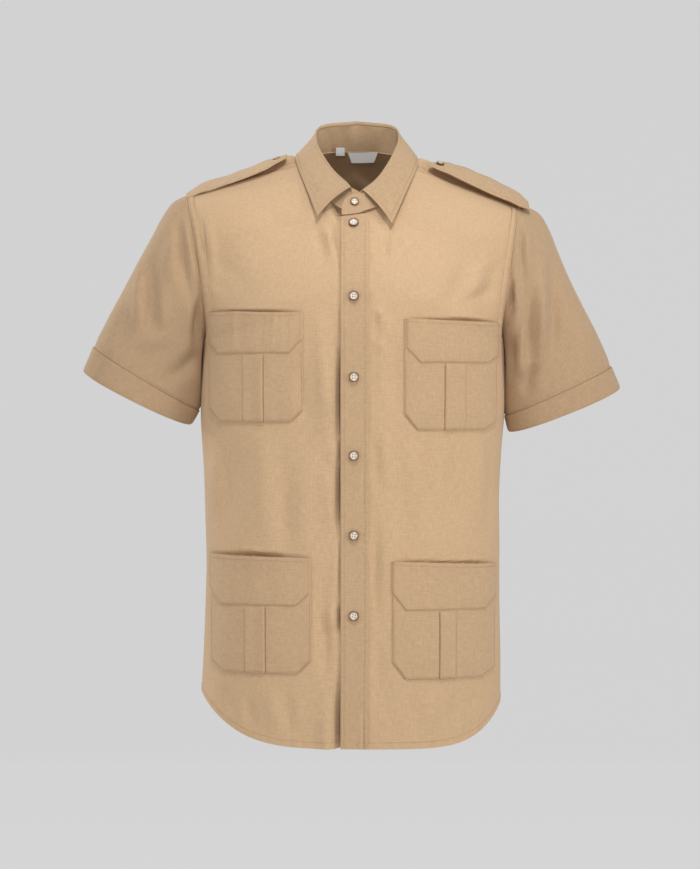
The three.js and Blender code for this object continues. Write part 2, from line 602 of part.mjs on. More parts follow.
// Labels on the inside of the back of the neck.
const LABELS = {
  neck_label: { x: [-9, 30], low: 0, high: 14 },
  size_tab: { x: [-25, -13], low: 6, high: 18 },
};
for (const [name, size] of Object.entries(LABELS)) {
  const points = grid(2, 3, (i, j) => {
    const x = bend(size.x[0], size.x[1], j / 3);
    const z = bend(size.low, size.high, i / 2);
    return vec(x, 62.3 - 0.0072 * x * x + (z > 12 ? -0.1 : 0.2) * Math.abs(12 - z), z);
  });
  add(name, wall(points, inwards(points, 1, 1)), COLORS.label);
}

export default group;
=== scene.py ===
import math

import bpy
import numpy as np
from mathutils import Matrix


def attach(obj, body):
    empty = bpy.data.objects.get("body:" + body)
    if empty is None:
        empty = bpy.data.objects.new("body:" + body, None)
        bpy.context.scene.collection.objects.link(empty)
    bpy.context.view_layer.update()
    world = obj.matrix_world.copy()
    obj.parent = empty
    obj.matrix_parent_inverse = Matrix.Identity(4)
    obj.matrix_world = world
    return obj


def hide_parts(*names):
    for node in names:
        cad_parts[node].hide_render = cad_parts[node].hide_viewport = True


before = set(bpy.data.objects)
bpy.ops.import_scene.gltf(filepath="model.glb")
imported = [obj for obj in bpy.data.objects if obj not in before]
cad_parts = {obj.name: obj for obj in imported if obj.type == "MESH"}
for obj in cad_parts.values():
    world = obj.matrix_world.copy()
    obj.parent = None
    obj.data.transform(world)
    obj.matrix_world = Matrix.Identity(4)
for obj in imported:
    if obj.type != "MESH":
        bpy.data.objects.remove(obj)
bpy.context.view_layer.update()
bpy.ops.object.select_all(action="DESELECT")

# Studio: the shirt is seen from the front at the height of its waist, with a long lens, against
# one pale sweep of paper. Soft lamps stand round it, and a narrow one above lights the chest.
scene = bpy.context.scene
bpy.ops.object.camera_add(location=(-0.006, -3.5, -0.352), rotation=(math.pi / 2, 0, 0))
camera = bpy.context.object
camera.data.sensor_width = 36
camera.data.lens = 114.2
camera.data.clip_end = 50
scene.camera = camera
scene.view_settings.view_transform = "Standard"


def new_material(name):
    """A material with its nodes, their links and its shader."""
    made = bpy.data.materials.new(name)
    made.use_nodes = True
    tree = made.node_tree
    return made, tree.nodes, tree.links, tree.nodes["Principled BSDF"]


def dial(node, **values):
    """A node with its inputs set by name, an underscore for each space."""
    for name, value in values.items():
        node.inputs[name.replace("_", " ")].default_value = value
    return node


# The sweep's section as (depth, height) in metres, from under the shirt to above it.
SWEEP_WIDTH = 18
SWEEP = [(-2.5, -1.45), (4.3, -1.45), (5.0, -1.35), (5.4, -1.05), (5.55, -0.6), (5.6, 6.5)]
bpy.ops.mesh.primitive_grid_add(x_subdivisions=1, y_subdivisions=40, size=1)
sweep = bpy.context.object
sweep.name = "paper_sweep"
for corner in sweep.data.vertices:
    run = (corner.co.y + 0.5) * (len(SWEEP) - 1)
    k = min(int(run), len(SWEEP) - 2)
    y = SWEEP[k][0] + (SWEEP[k + 1][0] - SWEEP[k][0]) * (run - k)
    z = SWEEP[k][1] + (SWEEP[k + 1][1] - SWEEP[k][1]) * (run - k)
    corner.co = (corner.co.x * SWEEP_WIDTH, y, z)
bpy.ops.object.shade_smooth()
paper, _, _, paper_shader = new_material("pale_paper")
dial(paper_shader, Base_Color=(0.06, 0.06, 0.06, 1), Roughness=1,
     Emission_Color=(1, 1, 1, 1), Emission_Strength=0.61)
sweep.data.materials.append(paper)

SHIRT_MIDDLE = -0.35
for name, place, size, power, tint in (
    ("side_right", (2.4, -1.6, 0.1), 0.9, 27, (1.0, 0.99, 0.97)),
    ("side_left", (-2.4, -1.6, 0.1), 0.9, 13, (1.0, 0.99, 0.98)),
    ("top", (0.0, -0.7, 2.2), 1.6, 18, (1.0, 1.0, 1.0)),
    ("low", (0.0, -3.0, -1.3), 1.0, 13, (1.0, 0.99, 0.98)),
    ("front", (0.1, -3.6, 0.5), 0.7, 10, (1.0, 1.0, 1.0)),
    ("rear", (-2.5, 1.5, 0.9), 0.8, 34, (1.0, 1.0, 1.0)),
):
    bpy.ops.object.light_add(type="AREA", location=place)
    lamp = bpy.context.object
    lamp.name = name
    lamp.data.size = size
    lamp.data.energy = power
    lamp.data.color = tint
    aim = np.array([0, 0, SHIRT_MIDDLE]) - np.array(place)
    lamp.rotation_euler = (math.atan2(math.hypot(aim[0], aim[1]), -aim[2]), 0,
                           math.atan2(-aim[0], aim[1]))
bpy.ops.object.light_add(type="SPOT", location=(0.25, -1.7, 2.0), rotation=(0.625, 0, 0.155))
chest_light = bpy.context.object
chest_light.name = "chest"
chest_light.data.energy = 118
chest_light.data.spot_size = math.radians(21)
chest_light.data.spot_blend = 1.0
chest_light.data.shadow_soft_size = 0.1
scene.world = scene.world or bpy.data.worlds.new("room")
scene.world.use_nodes = True
dial(scene.world.node_tree.nodes["Background"], Color=(0.92, 0.95, 1.0, 1), Strength=0.27)


# Fronts: two panels of cotton twill, cut straight at the middle and curved at the hem. They are
# sewn to the back at the sides, to the yoke on top and to the sleeves round the armholes.
# All sizes of the cloth are millimetres, the same as the solids'.
MM = 0.001
WALL = 1.3
SIDES = {
    "right": dict(
        sign=-1, hem_middle=-738, hem_side=-674, hem_turn=4.4, middle=10.0, slope=(0.52, 0.27),
        seam=[(-674, -194), (-626, -191.5), (-562, -189), (-511, -187.8), (-473, -188.6),
              (-397, -191.5), (-322, -195), (-240, -192)],
        arm_front=[(-192, 0, -240), (-187, -38, -221), (-191, -59, -170), (-200, -56, -112),
                   (-208, -38, -70), (-210.5, -22, -54)],
        arm_top=[(-210.5, -22, -54), (-209, 0, -48), (-208, 26, -58), (-206, 50, -88)],
        arm_back=[(-192, 0, -240), (-187, 40, -220), (-192, 66, -170), (-200, 66, -125),
                  (-206, 50, -88)],
        neck_front=[(10, -85, -77), (-14, -82.5, -74), (-38, -67, -55), (-57, -43, -31),
                    (-66, -18, -11)],
        neck_back=[(0, 66, 14), (-28, 62, 13), (-54, 38, 7), (-66, 6, -3), (-66, -18, -11)],
    ),
    "left": dict(
        sign=1, hem_middle=-738.5, hem_side=-686, hem_turn=5.6, middle=10.6, slope=(0.42, 0.18),
        seam=[(-686, 184.5), (-626, 184.5), (-562, 183.3), (-474, 183.2), (-435, 182.5),
              (-372, 185.5), (-331, 189), (-240, 190)],
        arm_front=[(190, 0, -240), (185, -38, -224), (190, -59, -176), (198, -56, -120),
                   (203, -38, -82), (204, -22, -68)],
        arm_top=[(204, -22, -68), (217, 2, -62), (215, 28, -69), (207, 50, -92)],
        arm_back=[(190, 0, -240), (185, 40, -224), (191, 66, -176), (200, 66, -130),
                  (207, 50, -92)],
        neck_front=[(10.6, -85, -77), (30, -79, -69), (50, -62, -50), (66, -40, -31),
                    (72, -20, -16)],
        neck_back=[(0, 66, 14), (28, 62, 13), (56, 38, 6), (70, 6, -6), (72, -20, -16)],
    ),
}
FRONT_DEPTH = [(-740, -118), (-600, -121), (-450, -123), (-300, -130), (-200, -134),
               (-165, -130), (-135, -119), (-105, -103), (-77, -85)]
BACK_DEPTH = [(-740, 121), (-600, 113), (-450, 106), (-330, 111), (-240, 123),
              (-170, 128), (-120, 123), (-86, 114)]


def along(rows, s):
    """Smooth curve through rows that are evenly spaced, s from 0 to 1."""
    rows = np.asarray(rows, float)
    last = len(rows) - 1
    at = np.clip(np.asarray(s, float), 0, 1) * last
    i = np.minimum(at.astype(int), last - 1)
    t = (at - i)[..., None]
    p0, p1 = rows[i], rows[i + 1]
    m0 = np.where(i[..., None] > 0, (p1 - rows[np.maximum(i - 1, 0)]) / 2, p1 - p0)
    m1 = np.where(i[..., None] < last - 1, (rows[np.minimum(i + 2, last)] - p0) / 2, p1 - p0)
    return ((2 * t**3 - 3 * t**2 + 1) * p0 + (t**3 - 2 * t**2 + t) * m0
            + (3 * t**2 - 2 * t**3) * p1 + (t**3 - t**2) * m1)


def profile(rows, z):
    """Smooth value read from (height, value) rows."""
    at, value = np.array(rows, float).T
    slope = np.gradient(value, at)
    z = np.clip(z, at[0], at[-1])
    i = np.clip(np.searchsorted(at, z) - 1, 0, len(at) - 2)
    h = at[i + 1] - at[i]
    t = (z - at[i]) / h
    return ((2 * t**3 - 3 * t**2 + 1) * value[i] + (t**3 - 2 * t**2 + t) * h * slope[i]
            + (3 * t**2 - 2 * t**3) * value[i + 1] + (t**3 - t**2) * h * slope[i + 1])


def inner_edge(side, v, back):
    z = np.where(v < 1, side["hem_middle"] + (-205 - side["hem_middle"]) * v,
                 -205 + ((-86 if back else -77) + 205) * (v - 1))
    depth = profile(BACK_DEPTH if back else FRONT_DEPTH, z)
    x = np.full_like(z, 0 if back else side["middle"])
    return np.where(v[..., None] > 2, along(side["neck_front"], v - 2),
                    np.stack([x, depth, z], -1))


def outer_edge(side, v, back):
    z = side["hem_side"] + (-240 - side["hem_side"]) * v
    seam = np.stack([profile(side["seam"], z), 0 * z, z], -1)
    arm = along(side["arm_back"], v - 1) if back else along(side["arm_front"], (v - 1) / 2)
    return np.where(v[..., None] < 1, seam, arm)


def panel(side, v, t, back=False):
    """Point of a body panel: v up its length, t from its middle to its side."""
    v, t = np.broadcast_arrays(np.asarray(v, float), np.clip(t, 0, 1))
    a, b = inner_edge(side, v, back), outer_edge(side, v, back)
    # From hem to shoulder: two powers of the bend across, one of the slope, and the swell.
    shape = along([(2.4, 2.4, side["hem_turn"], 0), (2.4, 2.4, 2, 0), (2.2, 1.35, 1.2, 9),
                   (2, 1.2, 1, 3)], (np.minimum(v, 2) if back else v) / 3)
    p, q, k, swell = np.moveaxis(shape, -1, 0)
    full = np.maximum(1 - t**p, 0) ** (1 / q)
    out = swell * 6.75 * t * t * (1 - t) * (1 if back else -1)
    return np.stack([a[..., 0] + (b[..., 0] - a[..., 0]) * t,
                     b[..., 1] + (a[..., 1] - b[..., 1]) * full + out,
                     a[..., 2] + (b[..., 2] - a[..., 2]) * t**k], -1)


def column_at(u):
    """Columns closer together towards the side of a panel."""
    return np.sin(math.pi / 2 * np.clip(u, 0, 1)) ** 0.9


def smooth(t):
    t = np.clip(t, 0, 1)
    return t * t * (3 - 2 * t)


# Creases, each from x0, z0 to x1, z1: bow is how far it bends aside, width its half
# width, depth how deep it lies (minus stands out), lean where along it is deepest.
FRONT_CREASES = [
    (-30, -89, -19, -141, -2, 4.5, 3.4, 0.45), (-41, -89, -27, -143, -2, 5, -3.1, 0.45),
    (-48, -92, -38, -141, -3, 6, 2.1, 0.5), (-190, -130, -120, -190, -6, 11, 1.6, 0.4),
    (-173, -92, -106, -168, -8, 18, -1.2, 0.5), (-188, -150, -141, -195, -3, 9, 1.3, 0.4),
    (-185, -72, -177, -187, -4, 6, -2.3, 0.5), (-192, -77, -186, -141, 0, 3, 3, 0.5),
    (-128, -72, -45, -97, 6, 14, 2.1, 0.5), (166, -120, 136, -206, 4, 10, -3.8, 0.55),
    (150, -128, 116, -208, 5, 11, 3.7, 0.6), (182, -126, 162, -206, 3, 8, 2.6, 0.5),
    (185, -168, 124, -202, 5, 7, 2.3, 0.5), (85, -72, 178, -97, -6, 14, 2.3, 0.5),
    (53, -97, 45, -141, 2, 6, -2.3, 0.5), (41, -104, 36, -148, 2, 5, 2.1, 0.5),
    (23, -146, 26, -180, 0, 4, 1.9, 0.5), (31, -192, 32, -222, 0, 5, -3.4, 0.5),
    (26, -200, 25, -244, 0, 4, 1.6, 0.5), (31, -231, 32, -258, 0, 4.5, -2.6, 0.5),
    (25, -249, 23, -315, 0, 4, 1.4, 0.5), (23, -339, 25, -425, -1, 4.5, 2.1, 0.5),
    (25, -440, 23, -596, -2, 5, 3.6, 0.5), (26, -574, 26, -709, -2, 6, 2.4, 0.5),
    (48, -432, 45, -604, 4, 11, -2.6, 0.5), (38, -334, 43, -432, 2, 7, -2.1, 0.5),
    (-146, -350, -150, -494, 3, 12, 3, 0.4), (-114, -348, -116, -486, -3, 12, -2.3, 0.4),
    (-80, -370, -86, -504, 3, 11, 2.8, 0.6), (-56, -360, -60, -520, 3, 13, -2, 0.5),
    (-175, -354, -173, -462, 2, 8, -2.3, 0.5), (-165, -359, -163, -481, -3, 6, 2.1, 0.4),
    (-34, -350, -40, -500, -3, 10, 1.6, 0.5), (92, -352, 94, -486, 3, 11, 2.7, 0.4),
    (70, -354, 72, -474, -4, 10, -2.9, 0.5), (119, -354, 129, -474, 4, 9, 3.1, 0.5),
    (146, -354, 151, -486, -3, 9, -2.5, 0.5), (167, -346, 168, -481, -2, 6, 2.6, 0.5),
    (-40, -535, -37, -670, -3, 8, 3, 0.5), (-27, -506, -27, -665, 2, 6, -2.1, 0.5),
    (31, -604, 38, -721, -3, 9, 1.8, 0.5), (-133, -665, -121, -724, 3, 7, 2.2, 0.5),
    (-106, -658, -101, -726, -2, 8, -2, 0.5), (-82, -658, -79, -729, 2, 7, 2.1, 0.5),
    (-163, -658, -148, -707, 3, 8, 2.1, 0.5), (70, -665, 68, -729, -3, 8, 2.2, 0.5),
    (99, -662, 92, -724, 3, 8, -2, 0.5), (126, -662, 114, -716, -3, 8, 2.2, 0.5),
    (153, -665, 141, -704, 2, 7, 1.8, 0.5), (-65, -251, -62, -339, 2, 6, 2.1, 0.5),
    (-48, -187, -40, -334, -5, 10, -2.3, 0.5), (53, -224, 50, -339, 3, 7, 2.3, 0.5),
]
# The under front falls back from the placket's free edge between the buttons.
GAPE = [
    (-14, -180, -15, -240, 0, 4, 3, 0.6), (-12.5, -226, -12.5, -372, -3.5, 12.5, 22, 0.55),
    (-13, -356, -13, -392, 0, 8, 11, 0.5), (-13, -376, -13, -482, -1, 10.5, 19, 0.42),
    (-14, -470, -14, -566, 0, 5, 5, 0.5), (-13, -556, -13, -600, 0, 8, 12, 0.5),
    (-13, -606, -13, -810, 0, 10.5, 24, 0.66), (-14, -96, -15, -190, 0, 4, 3, 0.4),
    (-26, -60, -13, -88, 0, 7, 9, 0.5),
]

# The front also falls back behind the open upper edge of each pocket.
MOUTHS = [
    (-184, -200, -62, -203, 0, 1.9, 3.4, 0.5), (60, -211, 182, -214, 0, 1.8, 2.6, 0.5),
    (112, -210.5, 176, -213, 0, 2.2, 3.6, 0.4), (-188, -500, -50, -504, 0, 2.0, 4.0, 0.5),
    (-160, -499, -84, -501.5, 0, 2.8, 5.0, 0.55), (40, -508, 180, -513, 0, 1.8, 3.0, 0.5),
    (112, -510, 168, -512, 0, 2.2, 3.0, 0.6),
]


def crease(x, z, rows):
    """How far the cloth lies out at x, z for a table of creases."""
    out = np.zeros(np.broadcast(x, z).shape)
    for x0, z0, x1, z1, bow, width, depth, lean in rows:
        dx, dz = x1 - x0, z1 - z0
        length = math.hypot(dx, dz)
        s = np.clip(((x - x0) * dx + (z - z0) * dz) / length**2, 0, 1)
        w = ((x - x0) * dz - (z - z0) * dx) / length - bow * 4 * s * (1 - s)
        power = math.log(0.5) / math.log(lean)
        fade = np.sin(math.pi * s**power) ** 1.5
        out -= depth * fade * (np.exp(-((w / width) ** 2))
                               - 0.3 * np.exp(-(((w - 1.9 * width) / (1.2 * width)) ** 2))
                               - 0.2 * np.exp(-(((w + 2.1 * width) / (1.4 * width)) ** 2)))
    return out


def bare_front(x, z):
    """Depth of the worn front over x and z, found on the panels themselves."""
    depth = np.zeros(x.shape)
    for name, side in SIDES.items():
        low, high = np.zeros(x.shape), np.full(x.shape, 2.0)
        for _ in range(20):
            v = (low + high) / 2
            a, b = inner_edge(side, v, False), outer_edge(side, v, False)
            t = np.clip((x - a[..., 0]) / (b[..., 0] - a[..., 0]), 0, 0.9999)
            point = panel(side, v, t)
            below = point[..., 2] < z
            low, high = np.where(below, v, low), np.where(below, high, v)
        mine = x > 10.3 if name == "left" else x <= 10.3
        depth = np.where(mine, point[..., 1], depth)
    return depth


FIELD_X, FIELD_Z = np.arange(-210, 211, 2.0), np.arange(-744, -66, 4.0)
field = bare_front(*np.meshgrid(FIELD_X, FIELD_Z))


def blend_of(t):
    """Weights of four neighbours for a smooth curve through them, and of its slope."""
    value = [-t / 2 + t**2 - t**3 / 2, 1 - 2.5 * t**2 + 1.5 * t**3,
             t / 2 + 2 * t**2 - 1.5 * t**3, -t**2 / 2 + t**3 / 2]
    slope = [-0.5 + 2 * t - 1.5 * t**2, -5 * t + 4.5 * t**2,
             0.5 + 4 * t - 4.5 * t**2, -t + 1.5 * t**2]
    return value, slope


def on_front(x, z, lift=0.0, drawn=1.0):
    """Points of the worn front over x and z, moved out by lift, with their outward way."""
    x, z, lift = np.broadcast_arrays(*(np.asarray(a, float) for a in (x, z, lift)))
    fx, fz = (x - FIELD_X[0]) / 2, (z - FIELD_Z[0]) / 4
    i = np.clip(fx.astype(int), 1, len(FIELD_X) - 3)
    j = np.clip(fz.astype(int), 1, len(FIELD_Z) - 3)
    (wx, sx), (wz, sz) = blend_of(fx - i), blend_of(fz - j)
    depth, across, up = np.zeros(x.shape), np.zeros(x.shape), np.zeros(x.shape)
    for m in range(4):
        for n in range(4):
            here = field[j + n - 1, i + m - 1]
            depth += here * wx[m] * wz[n]
            across += here * sx[m] * wz[n] / 2
            up += here * wx[m] * sz[n] / 4
    way = np.stack([across, -np.ones(x.shape), up], -1)
    way /= np.linalg.norm(way, axis=-1, keepdims=True)
    out = lift + drawn * crease(x, z, FRONT_CREASES)
    return np.stack([x, depth, z], -1) + way * out[..., None], way


def outward(points, ring=False):
    """The way out of a grid of points."""
    du = np.gradient(points, axis=1)
    if ring:
        du[:, 0] = du[:, -1] = (points[:, 1] - points[:, -2]) / 2
    way = np.cross(du, np.gradient(points, axis=0))
    return way / np.maximum(np.linalg.norm(way, axis=-1, keepdims=True), 1e-9)


def lay_cloth(name, columns, rows, place, node, cloth, wall=WALL, relief=None, ring=False):
    """One layer of cloth: a grid, laid on its form, creased, given its wall and its weave's UV."""
    bpy.ops.object.select_all(action="DESELECT")
    bpy.ops.mesh.primitive_grid_add(x_subdivisions=columns, y_subdivisions=rows, size=1,
                                    calc_uvs=True)
    piece = bpy.context.object
    piece.name = name
    count = len(piece.data.vertices)
    flat = np.empty(count * 3)
    piece.data.vertices.foreach_get("co", flat)
    flat = flat.reshape(rows + 1, columns + 1, 3)
    u, v = flat[..., 0] + 0.5, flat[..., 1] + 0.5
    points = place(u, v)
    if relief is not None:
        way = outward(points, ring)
        points = points + way * relief(points, way, u, v)[..., None]
    if ring:
        points[:, -1] = points[:, 0]
    piece.data.vertices.foreach_set("co", (points * MM).reshape(-1))
    wide = np.linalg.norm(np.diff(points, axis=1), axis=-1).sum(1).mean() * MM
    tall = np.linalg.norm(np.diff(points, axis=0), axis=-1).sum(0).mean() * MM
    weave = np.empty(len(piece.data.loops) * 2)
    piece.data.uv_layers.active.data.foreach_get("uv", weave)
    weave = weave.reshape(-1, 2) * (wide, tall)
    piece.data.uv_layers.active.data.foreach_set("uv", weave.reshape(-1))
    piece.data.update()
    if ring:
        bpy.ops.object.mode_set(mode="EDIT")
        bpy.ops.mesh.select_all(action="SELECT")
        bpy.ops.mesh.remove_doubles(threshold=0.00001)
        bpy.ops.object.mode_set(mode="OBJECT")
    thick = piece.modifiers.new("wall", "SOLIDIFY")
    thick.thickness = wall * MM
    thick.offset = -1
    bpy.ops.object.modifier_apply(modifier=thick.name)
    bpy.ops.object.shade_smooth_by_angle(angle=math.radians(42))
    piece.data.materials.clear()
    piece.data.materials.append(cloth)
    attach(piece, "root")
    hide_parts(node)
    return piece


def twill(name, color, worn=1.0):
    """Cotton twill: fine slanting ribs, uneven yarns both ways, soft rumples and a matt nap."""
    cloth, nodes, links, shader = new_material(name)
    dial(shader, Roughness=0.9, Specular_IOR_Level=0.22, Sheen_Weight=0.18, Sheen_Roughness=0.55,
         Sheen_Tint=(1.0, 0.9, 0.78, 1))
    uv = nodes.new("ShaderNodeTexCoord").outputs["UV"]

    turned = dial(nodes.new("ShaderNodeMapping"), Rotation=(0, 0, math.radians(58)))
    ribs = dial(nodes.new("ShaderNodeTexWave"), Scale=410, Distortion=1.1, Detail=1.5,
                Detail_Scale=1.4)
    stretched = dial(nodes.new("ShaderNodeMapping"), Scale=(1.0, 0.16, 1.0))
    yarn = dial(nodes.new("ShaderNodeTexNoise"), Scale=620, Detail=3, Roughness=0.62)
    laid = dial(nodes.new("ShaderNodeMapping"), Scale=(0.2, 1.0, 1.0))
    weft = dial(nodes.new("ShaderNodeTexNoise"), Scale=560, Detail=4, Roughness=0.65)
    for mapping, texture in ((turned, ribs), (stretched, yarn), (laid, weft)):
        links.new(uv, mapping.inputs["Vector"])
        links.new(mapping.outputs["Vector"], texture.inputs["Vector"])

    mixed = dial(nodes.new("ShaderNodeMix"), Factor=0.42)
    links.new(yarn.outputs["Fac"], mixed.inputs[2])
    links.new(ribs.outputs["Fac"], mixed.inputs[3])
    both = dial(nodes.new("ShaderNodeMix"), Factor=0.4)
    links.new(mixed.outputs[0], both.inputs[2])
    links.new(weft.outputs["Fac"], both.inputs[3])
    tones = nodes.new("ShaderNodeValToRGB")
    dark, light = tones.color_ramp.elements
    dark.position, dark.color = 0.3, [c * 0.80 for c in color] + [1]
    light.position, light.color = 0.7, [min(c * 1.17, 1) for c in color] + [1]
    links.new(both.outputs[0], tones.inputs["Fac"])
    links.new(tones.outputs["Color"], shader.inputs["Base Color"])

    weave = dial(nodes.new("ShaderNodeBump"), Strength=0.35, Distance=0.0003)
    links.new(mixed.outputs[0], weave.inputs["Height"])
    rumple = dial(nodes.new("ShaderNodeTexNoise"), Scale=46, Detail=3, Roughness=0.5)
    links.new(uv, rumple.inputs["Vector"])
    soft = dial(nodes.new("ShaderNodeBump"), Strength=0.22 * worn, Distance=0.0022)
    links.new(rumple.outputs["Fac"], soft.inputs["Height"])
    links.new(weave.outputs["Normal"], soft.inputs["Normal"])
    links.new(soft.outputs["Normal"], shader.inputs["Normal"])
    return cloth


body_cloth = twill("khaki_twill", (0.60, 0.405, 0.236))


def front_rows(v):
    """Rows of a front panel: 1 at the underarm, 2 at the foot of the neck, 3 on the shoulder."""
    return np.interp(v, [0, 0.62, 0.82, 1], [0, 1, 2, 3])


# Shares of five neighbours in an average along the panel.
SOFTEN = ((-2, 1 / 16), (-1, 4 / 16), (0, 6 / 16), (1, 4 / 16), (2, 1 / 16))


def front_place(name):
    side = SIDES[name]

    def place(u, v):
        t = column_at(u if side["sign"] > 0 else 1 - u)
        rows = front_rows(v)
        # Cloth turns softly where the chest meets the shoulder.
        reach = 0.1 * smooth(1 - np.abs(rows - 2) / 0.5) * smooth(t / 0.2)
        return sum(share * panel(side, rows + k * reach, t) for k, share in SOFTEN)
    return place


def front_relief(name):
    side = SIDES[name]

    def relief(points, way, u, v):
        x, z = points[..., 0], points[..., 2]
        seen = smooth((0.25 - way[..., 1]) / 0.3)
        out = crease(x, z, FRONT_CREASES) * seen
        out += crease(x, z, MOUTHS)
        if name == "right":
            out += crease(x, z, GAPE)
        t = column_at(1 - u if side["sign"] < 0 else u)
        arm = smooth((front_rows(v) - 1.0) / 0.15)
        seam = smooth((t - 0.952) / 0.008) - 0.9 * smooth((t - 0.984) / 0.012)
        groove = np.exp(-(((t - 0.95) / 0.006) ** 2))
        out += arm * (0.9 * seam - 0.7 * groove) + 0.35 * smooth((0.012 - v) / 0.004)
        return out + 0.2 * arm * seam * np.sin(z / 1.9 + np.sin(z / 13))
    return relief


for name in SIDES:
    front = lay_cloth(f"cloth_front_{name}", 104, 330, front_place(name), f"front_{name}",
                      body_cloth, relief=front_relief(name))


# Back: one panel of the same twill, sewn to the fronts at the sides and to the yoke on top. It is
# plain, with a few long soft folds from the shoulder blades down to the waist.
BACK_CREASES = [
    (-120, -120, -92, -330, 12, 14, 4.4, 0.4), (-88, -130, -60, -360, 9, 15, -3.4, 0.4),
    (118, -124, 96, -340, -12, 14, 4.1, 0.4), (84, -128, 64, -350, -8, 15, -3.2, 0.4),
    (-24, -140, -14, -420, 8, 16, 3.1, 0.5), (34, -150, 26, -430, -8, 16, 2.9, 0.5),
    (-150, -300, -128, -560, -10, 14, 3.7, 0.5), (148, -310, 132, -570, 10, 13, 3.6, 0.5),
    (-70, -420, -78, -690, 8, 13, 3.2, 0.5), (72, -430, 82, -700, -9, 13, 3.1, 0.5),
    (4, -470, -6, -720, 6, 14, 2.5, 0.5), (-182, -160, -110, -210, 8, 10, 3.7, 0.3),
    (182, -166, 112, -216, -8, 10, 3.7, 0.3), (-30, -360, -130, -388, 8, 12, 2.2, 0.5),
    (36, -372, 128, -396, -8, 12, 2.2, 0.5), (-110, -600, -118, -715, -4, 9, 2.4, 0.5),
    (118, -606, 124, -716, 4, 9, 2.4, 0.5),
]
# Where up the back the armholes begin, as a share of its rows.
BACK_UNDERARM = 0.72


def back_place(u, v):
    rows = np.interp(v, [0, BACK_UNDERARM, 1], [0, 1, 2])
    t = column_at(np.abs(2 * u - 1))
    # Seen from behind, the panel runs from the wearer's left to the right.
    left, right = panel(SIDES["left"], rows, t, True), panel(SIDES["right"], rows, t, True)
    points = np.where((u < 0.5)[..., None], left, right)
    return points + np.array([0, 0.35, 0])


def back_relief(points, way, u, v):
    x, z = points[..., 0], points[..., 2]
    seen = smooth((way[..., 1] + 0.25) / 0.3)
    out = crease(x, z, BACK_CREASES) * seen
    arm = smooth((v - BACK_UNDERARM) / 0.02) * smooth((column_at(np.abs(2 * u - 1)) - 0.955) / 0.01)
    return out + 0.5 * arm + 0.35 * smooth((0.012 - v) / 0.004)


back = lay_cloth("cloth_back", 116, 130, back_place, "back", body_cloth, relief=back_relief)


# Yoke: one piece over both shoulders, from a seam across the shoulder blades to a seam on the
# front of each shoulder, cut round behind the neck. Its edges are turned under and topstitched.
YOKE_CREASES = [
    (-168, 40, -96, 84, 6, 12, 1.4, 0.5), (164, 44, 98, 86, -6, 12, 1.4, 0.5),
    (-60, 60, -22, 96, 4, 10, 1.0, 0.5), (58, 62, 26, 98, -4, 10, 1.0, 0.5),
]


def bent(start, one, two, end, t):
    """Cubic curve from start to end, led by the points one and two."""
    return ((1 - t)**3 * start + 3 * t * (1 - t)**2 * one + 3 * t**2 * (1 - t) * two
            + t**3 * end)


def yoke_place(u, v):
    # u runs from the wearer's left to the right, so that the cloth faces out. Of 17 steps out
    # from the middle, 6 lie along the neck and 11 along the front of the shoulder.
    w = np.abs(2 * u - 1)
    step = w * 17
    parts = []
    for side in (SIDES["left"], SIDES["right"]):
        start = panel(side, np.full_like(w, 2.0), column_at(w), True)
        start = start + np.array([0, 0.35, 0.35])
        neck = along(side["neck_back"], np.clip(step / 6, 0, 1))
        seam = panel(side, np.full_like(w, 3.0), column_at((step - 6) / 11))
        seam = seam + np.array([0, 0.5, 0.15])
        end = np.where((step < 6)[..., None], neck, seam)
        over = np.clip(step / 6, 0, 1)
        reach = np.linalg.norm(start - end, axis=-1)
        zero = 0 * reach
        one = start + np.stack([zero, -0.08 * reach, (0.34 + 0.12 * over) * reach], -1)
        two = end + np.stack([zero, (0.25 + 0.25 * over) * reach,
                              (-0.2 * (1 - over) + 0.16 * over) * reach], -1)
        line = bent(start, one, two, end, v[..., None])
        edge = along(side["arm_top"], 1 - v) + np.array([0, 0.35, 0])
        b = smooth((w - 0.8) / 0.2)[..., None]
        line = line * (1 - b) + edge * b
        out = np.abs(line[..., 0])
        far, run = (226, 52) if side["sign"] > 0 else (190, 90)
        lift = 12 * smooth((out - 62) / 24) * smooth((far - out) / run)
        lift *= np.exp(-(((line[..., 1] - 14) / 40) ** 2)) * smooth(np.minimum(v, 1 - v) / 0.14)
        parts.append(line + np.stack([zero, zero, lift], -1))
    return np.where((u < 0.5)[..., None], parts[0], parts[1])


def yoke_relief(points, way, u, v):
    out = crease(points[..., 0], points[..., 1], YOKE_CREASES)
    edge = smooth((0.035 - v) / 0.012) + smooth((v - 0.965) / 0.012) * (np.abs(2 * u - 1) > 0.36)
    return out + 0.6 * np.clip(edge, 0, 1)


yoke = lay_cloth("cloth_yoke", 150, 56, yoke_place, "yoke", body_cloth, relief=yoke_relief)


# Sleeves: short, of the same twill, each one piece sewn into a tube and set into its armhole.
# They fall in long folds to the cuffs, deepest beside the body.
CUFFS = {
    "right": dict(top=dict(inner=(-197.5, -321), outer=(-331, -240.5), depth=50, y=-2, sag=4),
                  end=dict(inner=(-207, -338), outer=(-344, -270), depth=51, y=-2, sag=8)),
    "left": dict(top=dict(inner=(190.5, -328), outer=(325, -265.5), depth=50, y=-2, sag=4),
                 end=dict(inner=(195, -347), outer=(336, -291.5), depth=51, y=-2, sag=8)),
}
